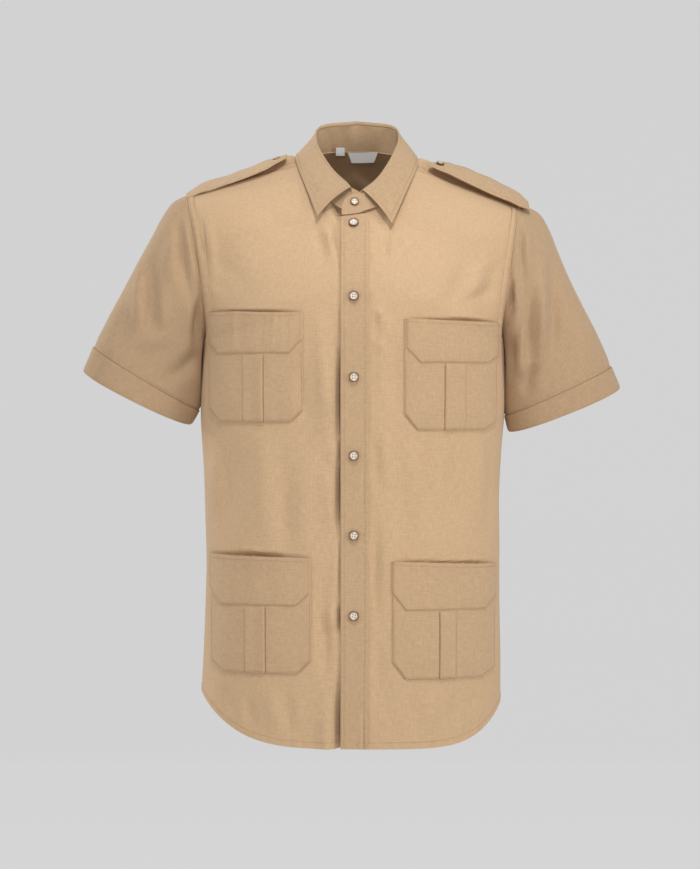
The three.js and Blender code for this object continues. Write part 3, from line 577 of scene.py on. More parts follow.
# Folds on the front of each sleeve, and below them those on its back.
SLEEVE_CREASES = {
    "right": [
        (-247, -103, -257, -226, 4, 9, 5, 0.5), (-264, -128, -270, -231, 3, 8, -5, 0.5),
        (-222, -68, -198, -201, 6, 7, 5.4, 0.5), (-210, -73, -197, -168, 2, 6, -3.4, 0.4),
        (-194, -178, -197, -254, 0, 6, 8.5, 0.5), (-189, -246, -250, -288, -4, 9, 5, 0.35),
        (-227, -226, -272, -249, 4, 10, -4, 0.5), (-237, -153, -232, -239, 4, 9, -3.1, 0.5),
        (-284, -183, -299, -249, -3, 8, 2.8, 0.5), (-224, -91, -229, -136, 0, 7, -3.1, 0.5),
        (-203, -63, -189, -136, -3, 3.5, 4, 0.5),
    ],
    "left": [
        (209, -80, 208, -150, -1, 3.6, 4, 0.5), (213, -76, 199, -303, -9, 6, -6.5, 0.5),
        (210, -98, 217, -278, -2, 8, 10, 0.55), (193, -150, 193, -212, 0, 5.5, 11, 0.5),
        (197, -225, 193, -285, 0, 6, 7, 0.5), (228, -262, 212, -306, 5, 8, 7, 0.5),
        (212, -256, 206, -302, -3, 5, -4, 0.5), (245, -115, 247, -270, -4, 8, 6.5, 0.5),
        (231, -130, 232, -280, -2, 7, -4, 0.5), (275, -198, 297, -276, -3, 12, -3.1, 0.5),
        (257, -103, 277, -178, -4, 10, 2.2, 0.5),
    ],
}
SLEEVE_BACK_CREASES = {
    "right": [(-214, -110, -206, -210, 8, 8, 3.4, 0.4), (-240, -120, -250, -230, -6, 9, 2.6, 0.5),
              (-272, -150, -290, -250, -6, 9, -2.4, 0.5), (-200, -240, -250, -280, -7, 8, 3.0, 0.4),
              (-258, -190, -276, -268, 4, 8, 1.9, 0.5)],
    "left": [(212, -116, 204, -220, -8, 8, 3.4, 0.4), (238, -126, 246, -236, 6, 9, 2.6, 0.5),
             (268, -160, 284, -256, 6, 9, -2.4, 0.5), (198, -250, 244, -288, 7, 8, 3.0, 0.4),
             (252, -196, 270, -272, -4, 8, 1.9, 0.5)],
}
# How far the head of each sleeve is rounded out, from the armhole down to the cuff.
CAP = {"right": [(0,), (8,), (7,), (3.5,), (1.5,), (0,), (0,), (0,)],
       "left": [(0,), (7,), (4.5,), (-1,), (-4.5,), (-4.5,), (-2,), (0,)]}


def oval(ring, angle):
    """A sleeve's opening, a flattened oval: 0 underarm, then round the front."""
    c, s = np.cos(angle), np.sin(angle)
    length, across = np.sign(c) * np.abs(c) ** 0.88, np.sign(s) * np.abs(s) ** 0.88
    mid = (np.array(ring["inner"]) + ring["outer"]) / 2
    half = (np.array(ring["inner"]) - ring["outer"]) / 2
    return np.stack([mid[0] + half[0] * length, ring["y"] - ring["depth"] * across,
                     mid[1] + half[1] * length - ring["sag"] * np.maximum(across, 0)], -1)


ARM_STEPS = 120


def armhole(side, angle):
    """The armhole's seam by angle: 0 underarm, pi on the shoulder, front first."""
    s = np.linspace(0, 1, ARM_STEPS)
    loop = np.concatenate([along(side["arm_front"], s), along(side["arm_top"], s)[1:],
                           along(side["arm_back"], 1 - s)[1:]])
    length = np.concatenate([[0], np.cumsum(np.linalg.norm(np.diff(loop, axis=0), axis=1))])
    # The shoulder's point lies halfway along the top.
    top, total = length[ARM_STEPS * 3 // 2 - 2], length[-1]
    turn = np.where(length < top, length / top, 1 + (length - top) / (total - top)) * math.pi
    angle = np.clip(angle, 0, 2 * math.pi)
    return np.stack([np.interp(angle, turn, loop[:, k]) for k in range(3)], -1)


def cuff_axis(size):
    """The way a cuff points, from its seam to its open end."""
    step = np.array(size["end"]["inner"]) + size["end"]["outer"]
    step = step - size["top"]["inner"] - size["top"]["outer"]
    return np.array([step[0], 0, step[1]]) / math.hypot(*step)


def sleeve_place(name):
    side, size = SIDES[name], CUFFS[name]
    axis = cuff_axis(size)

    def place(u, v):
        angle = 2 * math.pi * (u if side["sign"] > 0 else 1 - u)
        c, s = np.cos(angle)[..., None], np.sin(angle)[..., None]
        start = armhole(side, angle) + np.array([side["sign"] * 0.35, 0, 0])
        away = np.concatenate([side["sign"] * (side["slope"][0] - side["slope"][1] * c),
                               -0.34 * s, -0.8 - 0.18 * c], -1)
        away /= np.linalg.norm(away, axis=-1, keepdims=True)
        end = oval(size["top"], angle) - axis * 0.35
        reach = np.linalg.norm(end - start, axis=-1, keepdims=True)
        one = start + away * reach * (0.25 + 0.09 * c)
        two = end - axis * reach * (0.36 - 0.08 * c)
        line = bent(start, one, two, end, (1 - v)[..., None])
        cap = along(CAP[name], 1 - v) * np.maximum(-np.cos(angle), 0)[..., None] ** 1.5
        return line + cap * np.array([side["sign"] * 0.86, 0, 0.5])
    return place


def sleeve_relief(name):
    def relief(points, way, u, v):
        x, z = points[..., 0], points[..., 2]
        ends = smooth((1 - v) / 0.08) * smooth(v / 0.05)
        front = smooth((-way[..., 1] - 0.05) / 0.35)
        rear = smooth((way[..., 1] - 0.05) / 0.35)
        out = crease(x, z, SLEEVE_CREASES[name]) * front * ends
        out += crease(x, z, SLEEVE_BACK_CREASES[name]) * rear * ends
        return out + 0.4 * smooth((v - 0.975) / 0.01) - 0.9 * smooth((0.035 - v) / 0.03)
    return relief


# Painted shade: the sleeves' twill is a darker copy of the body's, toned to the shade they hang in.
sleeve_cloth_painted_shade = twill("khaki_twill_sleeve_painted_shade", (0.475, 0.319, 0.187))
for name in SIDES:
    sleeve = lay_cloth(f"cloth_sleeve_{name}", 140, 80, sleeve_place(name), f"sleeve_{name}",
                       sleeve_cloth_painted_shade, relief=sleeve_relief(name), ring=True)


# Cuffs: the end of each sleeve is turned up into a 30 mm band and pressed. It lies a cloth's
# thickness proud of the sleeve, and its lower edge is a soft fold.
def cuff_place(name):
    side, size = SIDES[name], CUFFS[name]

    def place(u, v):
        angle = 2 * math.pi * (u if side["sign"] > 0 else 1 - u)
        a, b = oval(size["top"], angle), oval(size["end"], angle)
        return a + (b - a) * (1 - v)[..., None]
    return place


def cuff_relief(points, way, u, v):
    wave = 0.35 * np.sin(u * 38 + 3 * np.sin(u * 11)) * (0.4 + 0.6 * np.sin(math.pi * v))
    roll = -0.9 * smooth((0.14 - v) / 0.14) ** 2 - 0.25 * smooth((v - 0.93) / 0.07) ** 2
    return 0.9 + wave + roll


# Painted shade: the cuffs' twill is a darker copy of the body's, darker than the sleeves', toned to
# the shade at the sleeves' ends.
cuff_cloth_painted_shade = twill("khaki_twill_cuff_painted_shade", (0.46, 0.308, 0.18))
for name in SIDES:
    cuff = lay_cloth(f"cloth_cuff_{name}", 150, 14, cuff_place(name), f"cuff_{name}",
                     cuff_cloth_painted_shade, wall=2.4, relief=cuff_relief, ring=True)


# Collar: a stand round the neck that ends in a buttoned tab, and the fall sewn to its upper
# edge, which rolls over and ends in two points. Both are two layers of twill.
STAND_TOP = {
    "right": [(10, -73, -53), (-8, -64, -42), (-25, -42, -24), (-40, -12, 0), (-48, 16, 22),
              (-42, 46, 41), (3, 62, 48)],
    "left": [(10.6, -73, -53), (24, -58, -38), (38, -36, -18), (49, -10, 4), (55, 18, 24),
             (48, 46, 41), (3, 62, 48)],
}
# The tab's rows: x, then its lower and upper edge.
TAB = [(10.6, -75.8, -52.2), (4, -78.2, -53), (-4, -79.4, -54.6), (-11, -80.2, -58.8),
       (-16.4, -80.4, -69)]
TAB_OUT = 2.9


def stand_place(u, v):
    # Round the neck in 30 steps from the right front: 13 at the middle of the back, 26 at the
    # left front, and the tab after that.
    k = u * 30
    right, left = SIDES["right"], SIDES["left"]
    low = np.select(
        [k[..., None] < 7, k[..., None] < 13, k[..., None] < 19],
        [along(right["neck_front"], k / 7), along(right["neck_back"], 1 - (k - 7) / 6),
         along(left["neck_back"], (k - 13) / 6)], along(left["neck_front"], 1 - (k - 19) / 7))
    low = low + np.array([0, 0, 0.35])
    high = np.where((k < 13)[..., None], along(STAND_TOP["right"], k / 13),
                    along(STAND_TOP["left"], (26 - k) / 13))
    out = TAB_OUT * smooth((k - 23) / 3)
    band = low + (high - low) * v[..., None]
    band = band + np.stack([0 * out, -out, 0.3 * out], -1)
    x, z_low, z_high = np.moveaxis(along(TAB, (k - 26) / 4), -1, 0)
    z = z_low + (z_high - z_low) * v
    tab = np.stack([x, -73 + 0.5 * (z + 53) - TAB_OUT, z], -1)
    return np.where((k > 26)[..., None], tab, band)


def stand_relief(points, way, u, v):
    inside = np.exp(-((u - 0.43) / 0.2) ** 2)
    folds = (1.3 * np.sin(u * 118 + 2 * np.sin(u * 31)) + 1.0 * np.sin(u * 71 + 1)) * inside
    return folds * np.sin(math.pi * v) ** 0.6


# Painted shade: the collar's twill is a darker copy of the body's, toned to the shade round the
# neck and under the collar's roll.
collar_cloth_painted_shade = twill("khaki_twill_collar_painted_shade", (0.505, 0.338, 0.196), 0.7)
stand = lay_cloth("cloth_collar_stand", 220, 16, stand_place, "collar_stand", collar_cloth_painted_shade,
                  relief=stand_relief)

COLLAR_EDGE = {
    "right": [(-46.6, -97, -82), (-57.5, -72, -52.5), (-71.5, -28, -16), (-75.5, 4, 1),
              (-72, 44, 6), (-44, 80, 6), (0, 92, 4)],
    "left": [(45.8, -102, -92), (61, -76, -57), (77, -28, -20), (81, 4, -4),
             (76, 44, 4), (46, 80, 5), (0, 92, 4)],
}
COLLAR_FRONT = {"right": (-2.8, -76, -47), "left": (6.6, -78, -51)}
COLLAR_CREASES = [
    (-60, -26, -42, -66, 4, 7, 1.1, 0.5), (62, -28, 46, -72, -4, 7, 1.1, 0.5),
    (-52, -30, -30, -52, 3, 5, -0.8, 0.5), (50, -34, 34, -58, -3, 5, -0.8, 0.5),
]


def collar_place(u, v):
    parts = []
    t = v * 3
    for name in ("right", "left"):
        s = (u if name == "right" else 1 - u) * 2
        front = np.array(COLLAR_FRONT[name]) + (0, 2.2, -2.2)
        base = along([tuple(front)] + STAND_TOP[name][1:], s) + np.array([0, 0, 0.65])
        edge = along(COLLAR_EDGE[name], s)
        out = (edge - base) * np.array([1, 1, 0])
        out /= np.linalg.norm(out, axis=-1, keepdims=True)
        up = np.array([0, 0, 1.0])
        turn = math.pi * 0.72 * np.clip(t / 1.5, 0, 1)[..., None]
        rise = 3.2 * np.sin(turn) + 1.2 * np.clip(t, 0, 1)[..., None]
        roll = base + out * 3.2 * (1 - np.cos(turn)) + up * rise
        fall = np.clip((t - 1.5) / 1.5, 0, 1)[..., None]
        bulge = 14 * fall * (1 - fall) * (0.4 + 0.6 * smooth(s))[..., None]
        parts.append(roll + (edge - roll) * fall + out * bulge + up * 10 * fall * (1 - fall))
    return np.where((u < 0.5)[..., None], parts[0], parts[1])


def collar_relief(points, way, u, v):
    soft = crease(points[..., 0], points[..., 2], COLLAR_CREASES)
    near = np.minimum(np.minimum(u, 1 - u) * 8, 1 - v)
    seam = -0.3 * np.exp(-(((near - 0.1) / 0.035) ** 2))
    edge = -0.45 * smooth((0.04 - (1 - v)) / 0.04) ** 2
    return (soft + seam + edge) * smooth((v - 0.5) / 0.1)


collar = lay_cloth("cloth_collar", 210, 50, collar_place, "collar", collar_cloth_painted_shade,
                   relief=collar_relief)


# Placket: a 35 mm strip of folded twill down the wearer's left front, stitched along both edges.
# It closes over the right front, and its inner seam is drawn into small puckers.
PLACKET = (-17.6, 17.4)
PLACKET_HEM = -738


def placket_place(u, v):
    x = PLACKET[0] + (PLACKET[1] - PLACKET[0]) * u
    top = -83.2 + 0.12 * (x - PLACKET[0])
    z = PLACKET_HEM + (top - PLACKET_HEM) * v
    x = x - 1.6 * smooth((-560 - z) / 170) * u
    return on_front(x, z, 2.5, 0.35)[0]


def placket_relief(points, way, u, v):
    z = points[..., 2]
    edge = -0.8 * smooth((0.07 - u) / 0.07) ** 2 - 0.5 * smooth((u - 0.95) / 0.05) ** 2
    pucker = np.exp(-(((u - 0.86) / 0.1) ** 2)) * (0.28 * np.sin(z / 1.13 + 2 * np.sin(z / 9)))
    drawn = -0.45 * np.exp(-(((u - 0.85) / 0.035) ** 2))
    drawn = drawn - 0.3 * np.exp(-(((u - 0.13) / 0.035) ** 2))
    lift = 1.1 * np.exp(-((u - 0.02) / 0.2) ** 2) * (0.5 + 0.5 * np.sin(z / 19 + np.sin(z / 37)))
    wide = 0.35 * np.sin(z / 23 + 2 * np.sin(z / 51)) * np.sin(math.pi * u)
    return edge + pucker + drawn + lift + wide


# Painted shade: the placket's and straps' twill is a darker copy of the body's, toned to how dark
# they are seen under the light.
trim_cloth_painted_shade = twill("khaki_twill_trim_painted_shade", (0.54, 0.362, 0.211), 0.8)
placket = lay_cloth("cloth_placket", 42, 340, placket_place, "placket", trim_cloth_painted_shade,
                    relief=placket_relief)


# Pockets: four patch pockets with cut corners. Each bag has a box pleat down its middle and a
# flap stitched flat on it, so that the pocket opens along its upper edge.
POCKETS = {
    "chest_right": dict(
        top=(-200, -203), cut=15, pleat=(-137.3, -112), folds=(0.7, 1.8), mouth=1.6, ripple=1.9,
        flap=(-182, -64.6), flap_side=(-233.8, -236), flap_low=-252,
        bag=(-181, -63.6), bag_side=(-320, -322), bag_low=-336.7),
    "chest_left": dict(
        top=(-210.9, -213.5), cut=16.5, pleat=(109.7, 134.8), folds=(1.8, 0.6), mouth=1.6,
        ripple=0.6, flap=(62.8, 179.5), flap_side=(-246, -251), flap_low=-263.7,
        bag=(60.3, 176.5), bag_side=(-326.4, -335.7), bag_low=-346.7),
    "low_right": dict(
        top=(-500.5, -503.7), cut=17, pleat=(-134.8, -109.7), folds=(1.0, 1.9), mouth=2.6,
        ripple=0.6, flap=(-181.5, -54.8), flap_side=(-539, -546.7), flap_low=-562.4,
        bag=(-179, -53.5), bag_side=(-633, -629), bag_low=-646.4),
    "low_left": dict(
        top=(-507.6, -512.8), cut=17, pleat=(103.5, 123.7), folds=(1.9, 0.5), mouth=1.8,
        ripple=0.6, flap=(45.2, 176), flap_side=(-545.6, -550.6), flap_low=-568,
        bag=(45.9, 174.6), bag_side=(-631, -641), bag_low=-653),
}
# Rows close together at the upper and lower edges, as shares of the height.
POCKET_ROWS = {"bag": [(0, 0.08, 0.95, 1), (0, 0.022, 0.98, 1)],
               "flap": [(0, 0.14, 0.94, 1), (0, 0.055, 0.97, 1)]}
# Ripples along a flap: how far across, and how deep.
FLAP_RIPPLES = ((0.17, 1.0), (0.29, -0.7), (0.37, 1.3), (0.57, 0.8), (0.7, -0.5), (0.83, 0.6))


def upper_edge(p, part, x):
    """Height of the upper edge of a bag or flap at x, and how far across it x is."""
    across = (x - p[part][0]) / (p[part][1] - p[part][0])
    return p["top"][0] + (p["top"][1] - p["top"][0]) * across, across


def lower_edge(p, part, x):
    """Height of the lower edge of a bag or flap at x, with its two cut corners."""
    side_z, low, cut = p[f"{part}_side"], p[f"{part}_low"], p["cut"]
    left, right = (x - p[part][0]) / cut, (p[part][1] - x) / cut
    z = np.full_like(x, low)
    z = np.where(left < 1, side_z[0] + (low - side_z[0]) * np.clip(left, 0, 1), z)
    return np.where(right < 1, side_z[1] + (low - side_z[1]) * np.clip(right, 0, 1), z)


def inside_edge(p, part, x, z):
    """How far a point lies from the sewn sides and lower edge."""
    return np.minimum(np.minimum(x - p[part][0], p[part][1] - x), z - lower_edge(p, part, x))


def pocket_x(u, p, part):
    """Columns close together at the cut corners, the edges and the pleat's two folds."""
    (low, high), cut = p[part], p["cut"]
    one, two = p["pleat"]
    x = [low, low + 2.4, low + cut, one - 1.8, one + 1.8, two - 1.8, two + 1.8,
         high - cut, high - 2.4, high]
    return np.interp(u, [0, 0.06, 0.18, 0.33, 0.41, 0.53, 0.61, 0.82, 0.94, 1], x)


def bag_height(p, x, z):
    """How far a bag's outer face stands off the front, its pleat left out."""
    x = np.clip(x, p["bag"][0] + 0.1, p["bag"][1] - 0.1)
    top, across = upper_edge(p, "bag", x)
    edge = inside_edge(p, "bag", x, z)
    height = 2.4 - 1.7 * smooth(1 - edge / 1.3) - 0.4 * np.exp(-(((edge - 2.1) / 0.7) ** 2))
    height += 0.9 * smooth(edge / 26) * smooth((top - z) / 30)
    return height + p["mouth"] * np.sin(math.pi * across) * smooth(1 - (top - z) / 26)


def bag_place(p):
    def place(u, v):
        x = pocket_x(u, p, "bag")
        low, top = lower_edge(p, "bag", x), upper_edge(p, "bag", x)[0] - 0.5
        z = low + (top - low) * np.interp(v, *POCKET_ROWS["bag"])
        lift = bag_height(p, x, z)
        below = smooth((p["flap_low"] - z) / 5)
        for fold, pull, lip in zip(p["pleat"], p["folds"], (1, -1)):
            d = x - fold
            step = smooth(lip * d / 0.8 + 0.5) * smooth(1 - lip * d / 16) * pull
            lift += below * (step - (0.6 + pull) * np.exp(-((d / 0.6) ** 2)))
        soft = np.sin(x / 6.1 + np.sin(z / 21)) * np.sin(z / 17 + x / 40)
        lift += 0.35 * soft * smooth(inside_edge(p, "bag", x, z) / 14)
        return on_front(x, z, lift)[0]
    return place


def flap_place(p):
    def place(u, v):
        x = pocket_x(u, p, "flap")
        low, (top, across) = lower_edge(p, "flap", x), upper_edge(p, "flap", x)
        z = low + (top - low) * np.interp(v, *POCKET_ROWS["flap"])
        edge = inside_edge(p, "flap", x, z)
        bag = bag_height(p, x, z)
        lift = bag + 0.4 + smooth(edge / 1.2) + 0.4 * smooth(edge / 12)
        lift -= 0.3 * np.exp(-(((edge - 1.9) / 0.8) ** 2)) * (v < 0.97)
        for at, size in FLAP_RIPPLES:
            ripple = p["ripple"] * size * np.exp(-(((across - at - 0.02 * v) / 0.028) ** 2))
            lift -= ripple * smooth(edge / 5) * (0.35 + 0.65 * v)
        return on_front(x, z, np.maximum(lift, bag + 0.35 + smooth(edge / 1.2)))[0]
    return place


# Painted shade: the pockets' twill is a darker copy of the body's, toned to how dark they are seen
# under the light.
pocket_cloth_painted_shade = twill("khaki_twill_pocket_painted_shade", (0.552, 0.37, 0.216))
for name, p in POCKETS.items():
    bag = lay_cloth(f"cloth_pocket_{name}", 100, 76, bag_place(p), f"pocket_{name}",
                    pocket_cloth_painted_shade, wall=1.1)
    flap = lay_cloth(f"cloth_flap_{name}", 100, 40, flap_place(p), f"flap_{name}",
                     pocket_cloth_painted_shade, wall=1.2)
    host, size = "cloth_front_" + name.split("_")[1], name.split("_")[0]


# Shoulder straps: doubled twill, sewn into the armhole seam and pointed towards the collar,
# where each is held by a button. They stand a little off the shoulder. Their rows run from the
# armhole to the point: x, y, z and how far the strap tips forward.
STRAPS = {
    "right": [(-213, 0, -48, 0.26), (-192, -2, -38, 0.34), (-170, -4, -31.5, 0.35),
              (-145, -5, -23, 0.35), (-118, -5, -12, 0.35), (-102, -5, -5, 0.35),
              (-86, -5, 2, 0.35)],
    "left": [(221, -4, -59.5, 0.32), (207, -6, -50, 0.46), (183, -9, -39, 0.52),
             (158, -11, -28, 0.54), (130, -12, -16.5, 0.5), (112, -12, -10.5, 0.44),
             (94, -13, -9, 0.4)],
}
STRAP_HALF = [(21,), (23,), (22.5,), (22,), (21,), (17,), (5,)]


def strap_place(name):
    def place(u, v):
        # u runs from the strap's point to the armhole.
        x, y, z, drop = np.moveaxis(along(STRAPS[name], 1 - u), -1, 0)
        half = along(STRAP_HALF, 1 - u)[..., 0]
        w = 2 * v - 1
        return np.stack([x, y + w * half, z + w * half * drop - 2 * w * w], -1)
    return place


def strap_relief(points, way, u, v):
    near = np.minimum(np.minimum(v, 1 - v) * 45, 40)
    return (-0.7 * np.exp(-near / 1.3) - 0.35 * np.exp(-(((near - 5) / 1.1) ** 2))
            + 0.4 * np.sin(u * 21 + 2 * np.sin(u * 7 + v * 3)))


for name in STRAPS:
    strap = lay_cloth(f"cloth_epaulette_{name}", 110, 36, strap_place(name),
                      f"epaulette_{name}", trim_cloth_painted_shade, wall=1.6, relief=strap_relief)


# Neck label and size tab: two pieces of plain white woven tape. Each is folded and sewn flat
# inside the back of the neck, over the seam of the stand.
LABELS = {"neck_label": ((-9, 30), (-1, 12), 2.6), "size_tab": ((-24, -13), (8, 18.4), 0.0)}
tape, tape_nodes, tape_links, tape_shader = new_material("white_tape")
dial(tape_shader, Roughness=0.62, Sheen_Weight=0.2)
tape_uv = tape_nodes.new("ShaderNodeTexCoord")
tape_weave = dial(tape_nodes.new("ShaderNodeTexNoise"), Scale=900)
tape_links.new(tape_uv.outputs["UV"], tape_weave.inputs["Vector"])
tape_tones = tape_nodes.new("ShaderNodeValToRGB")
tape_tones.color_ramp.elements[0].color = (0.66, 0.655, 0.64, 1)
tape_tones.color_ramp.elements[1].color = (0.88, 0.875, 0.86, 1)
tape_links.new(tape_weave.outputs["Fac"], tape_tones.inputs["Fac"])
tape_links.new(tape_tones.outputs["Color"], tape_shader.inputs["Base Color"])
tape_bump = dial(tape_nodes.new("ShaderNodeBump"), Strength=0.3, Distance=0.0002)
tape_links.new(tape_weave.outputs["Fac"], tape_bump.inputs["Height"])
tape_links.new(tape_bump.outputs["Normal"], tape_shader.inputs["Normal"])


def label_place(span, height, slant):
    def place(u, v):
        z = height[0] + (height[1] - height[0]) * v
        x = span[0] + (span[1] - span[0]) * u + slant * (1 - v) * (1 - 2 * u) * 2
        y = 62.3 - 0.0072 * x * x + np.where(z > 12, -0.1, 0.2) * np.abs(12 - z)
        return np.stack([x, y, z], -1)
    return place


for name, (span, height, slant) in LABELS.items():
    label = lay_cloth(f"tape_{name}", 24, 12, label_place(span, height, slant), name, tape,
                      wall=0.8)


# Buttons: shirt buttons turned from horn-coloured sheet, with a cream face, a brown rim and four
# holes. Seven close the front and the stand, and one holds each shoulder strap.
BUTTON_THICK = 2.6
BUTTON_HOLE = 0.85
HOLE_OUT = 1.55
# The face from its rim inwards: how far each step goes in, and how far up or down.
FACE_STEPS = ((0.9, 0.25), (0.7, -0.85), (0.5, -0.15))


def horn():
    """Cream face inside a brown rim, by the distance from the button's middle."""
    made, nodes, links, shader = new_material("cream_and_horn")
    dial(shader, Roughness=0.28, Coat_Weight=0.25, Coat_Roughness=0.12, Subsurface_Weight=0.08,
         Subsurface_Radius=(0.002, 0.0015, 0.001))
    where = nodes.new("ShaderNodeAttribute")
    where.attribute_name = "from_middle"
    grain = dial(nodes.new("ShaderNodeTexNoise"), Scale=420, Detail=4)
    place = nodes.new("ShaderNodeTexCoord")
    links.new(place.outputs["Object"], grain.inputs["Vector"])
    shift = nodes.new("ShaderNodeMath")
    shift.operation = "MULTIPLY_ADD"
    shift.inputs[1].default_value = 0.16
    links.new(grain.outputs["Fac"], shift.inputs[0])
    links.new(where.outputs["Fac"], shift.inputs[2])
    tones = nodes.new("ShaderNodeValToRGB")
    ramp = tones.color_ramp
    ramp.elements[0].position, ramp.elements[0].color = 0.0, (0.80, 0.75, 0.66, 1)
    ramp.elements[1].position, ramp.elements[1].color = 1.0, (0.12, 0.06, 0.025, 1)
    for at, color in ((0.66, (0.76, 0.69, 0.58, 1)), (0.76, (0.36, 0.21, 0.10, 1))):
        ramp.elements.new(at).color = color
    links.new(shift.outputs[0], tones.inputs["Fac"])
    links.new(tones.outputs["Color"], shader.inputs["Base Color"])
    return made


def turn_button(name, at, way, radius, tilt=0.0):
    """A button on its seat, facing way, modelled flat and then turned into place."""
    bpy.ops.object.select_all(action="DESELECT")
    bpy.ops.mesh.primitive_cylinder_add(vertices=48, radius=radius * MM,
                                        depth=BUTTON_THICK * MM, end_fill_type="NGON")
    made = bpy.context.object
    made.name = name
    bpy.ops.object.mode_set(mode="EDIT")
    bpy.ops.mesh.select_mode(type="FACE")
    bpy.ops.mesh.select_all(action="DESELECT")
    bpy.ops.object.mode_set(mode="OBJECT")
    for face in made.data.polygons:
        face.select = face.normal.z > 0.9
    bpy.ops.object.mode_set(mode="EDIT")
    for inward, rise in FACE_STEPS:
        bpy.ops.mesh.inset(thickness=inward * MM)
        bpy.ops.transform.translate(value=(0, 0, rise * MM))
    bpy.ops.object.mode_set(mode="OBJECT")
    for sx, sy in ((1, 1), (1, -1), (-1, 1), (-1, -1)):
        bpy.ops.mesh.primitive_cylinder_add(
            vertices=14, radius=BUTTON_HOLE * MM, depth=8 * MM,
            location=(sx * HOLE_OUT * MM, sy * HOLE_OUT * MM, 0))
        drill = bpy.context.object
        cut = made.modifiers.new("hole", "BOOLEAN")
        cut.operation = "DIFFERENCE"
        cut.object = drill
        bpy.ops.object.select_all(action="DESELECT")
        bpy.context.view_layer.objects.active = made
        made.select_set(True)
        bpy.ops.object.modifier_apply(modifier=cut.name)
        bpy.data.objects.remove(drill)
    soften = made.modifiers.new("soft_edges", "BEVEL")
    soften.width = 0.22 * MM
    soften.segments = 2
    soften.angle_limit = math.radians(35)
    bpy.ops.object.modifier_apply(modifier=soften.name)
    bpy.ops.object.shade_smooth_by_angle(angle=math.radians(35))
    co = np.empty(len(made.data.vertices) * 3)
    made.data.vertices.foreach_get("co", co)
    co = co.reshape(-1, 3)
    rim = made.data.attributes.new("from_middle", "FLOAT", "POINT")
    rim.data.foreach_set("value", np.hypot(co[:, 0], co[:, 1]) / (radius * MM) * 0.92)
    way = np.array(way, float) / np.linalg.norm(way)
    spin = np.array([math.sin(tilt), 0, math.cos(tilt)])
    side = np.cross(spin, way)
    side /= np.linalg.norm(side)
    up = np.cross(way, side)
    seat = np.array(at, float) * MM + way * BUTTON_THICK / 2 * MM
    made.data.vertices.foreach_set("co", (seat + co @ np.stack([side, up, way])).reshape(-1))
    made.data.update()
    made.data.materials.append(horn_finish)
    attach(made, "root")
    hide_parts(name)
    made.name = f"turned_{name}"


horn_finish = horn()
BUTTON_HEIGHTS = (-92.3, -183.1, -281.7, -377.8, -475.7, -574.4)
# How far each front button is turned aside and up.
BUTTON_NODS = ((0.02, 0.10), (-0.05, 0.12), (0.06, 0.16), (-0.03, 0.14), (0.04, 0.12),
               (-0.05, 0.15))
button_seats = {}
for k, (z, (aside, nod)) in enumerate(zip(BUTTON_HEIGHTS, BUTTON_NODS)):
    seat, way = on_front(-1.2, z, 2.9)
    way = way + np.array([aside, 0, nod])
    button_seats[f"button_{k + 1}"] = (seat, way, 6.2, 0.05 * k)
tab_way = np.array([0.02, -1, 0.5])
button_seats["button_stand"] = (np.array([-0.3, -81.9, -63.8]), tab_way, 5.4, 0.0)
for name in STRAPS:
    x, y, z, drop = along(STRAPS[name], 0.87)
    lean = -0.33 if name == "right" else 0.26
    way = np.array([lean, -drop, 1.0])
    button_seats[f"button_epaulette_{name}"] = (np.array([x, y, z]) - 0.2 * way, way, 5.0, 0.0)
for name, seat in button_seats.items():
    turn_button(name, *seat)


# Stitching: one lock stitch, copied along every topstitched edge, in thread of the cloth's own
# colour. Double rows hold the yoke and the armholes, and single rows the other edges.
THREAD = (0.47, 0.305, 0.165)
thread, thread_nodes, thread_links, thread_shader = new_material("khaki_thread")
dial(thread_shader, Roughness=0.6)
thread_noise = dial(thread_nodes.new("ShaderNodeTexNoise"), Scale=700)
thread_place = thread_nodes.new("ShaderNodeTexCoord")
thread_links.new(thread_place.outputs["Object"], thread_noise.inputs["Vector"])
thread_tones = thread_nodes.new("ShaderNodeValToRGB")
thread_tones.color_ramp.elements[0].color = (*[c * 0.75 for c in THREAD], 1)
thread_tones.color_ramp.elements[1].color = (*[c * 1.2 for c in THREAD], 1)
thread_links.new(thread_noise.outputs["Fac"], thread_tones.inputs["Fac"])
thread_links.new(thread_tones.outputs["Color"], thread_shader.inputs["Base Color"])

# One stitch: half its width, half its height and half its length, and the pitch of a row.
STITCH_SIZE = (0.34, 0.34, 1.25)
STITCH_PITCH = 3.1
bpy.ops.object.select_all(action="DESELECT")
bpy.ops.mesh.primitive_uv_sphere_add(segments=6, ring_count=5, radius=1)
stitch = bpy.context.object
stitch_co = np.array([corner.co[:] for corner in stitch.data.vertices]) * STITCH_SIZE
stitch_faces = [list(face.vertices) for face in stitch.data.polygons]
bpy.data.objects.remove(stitch)


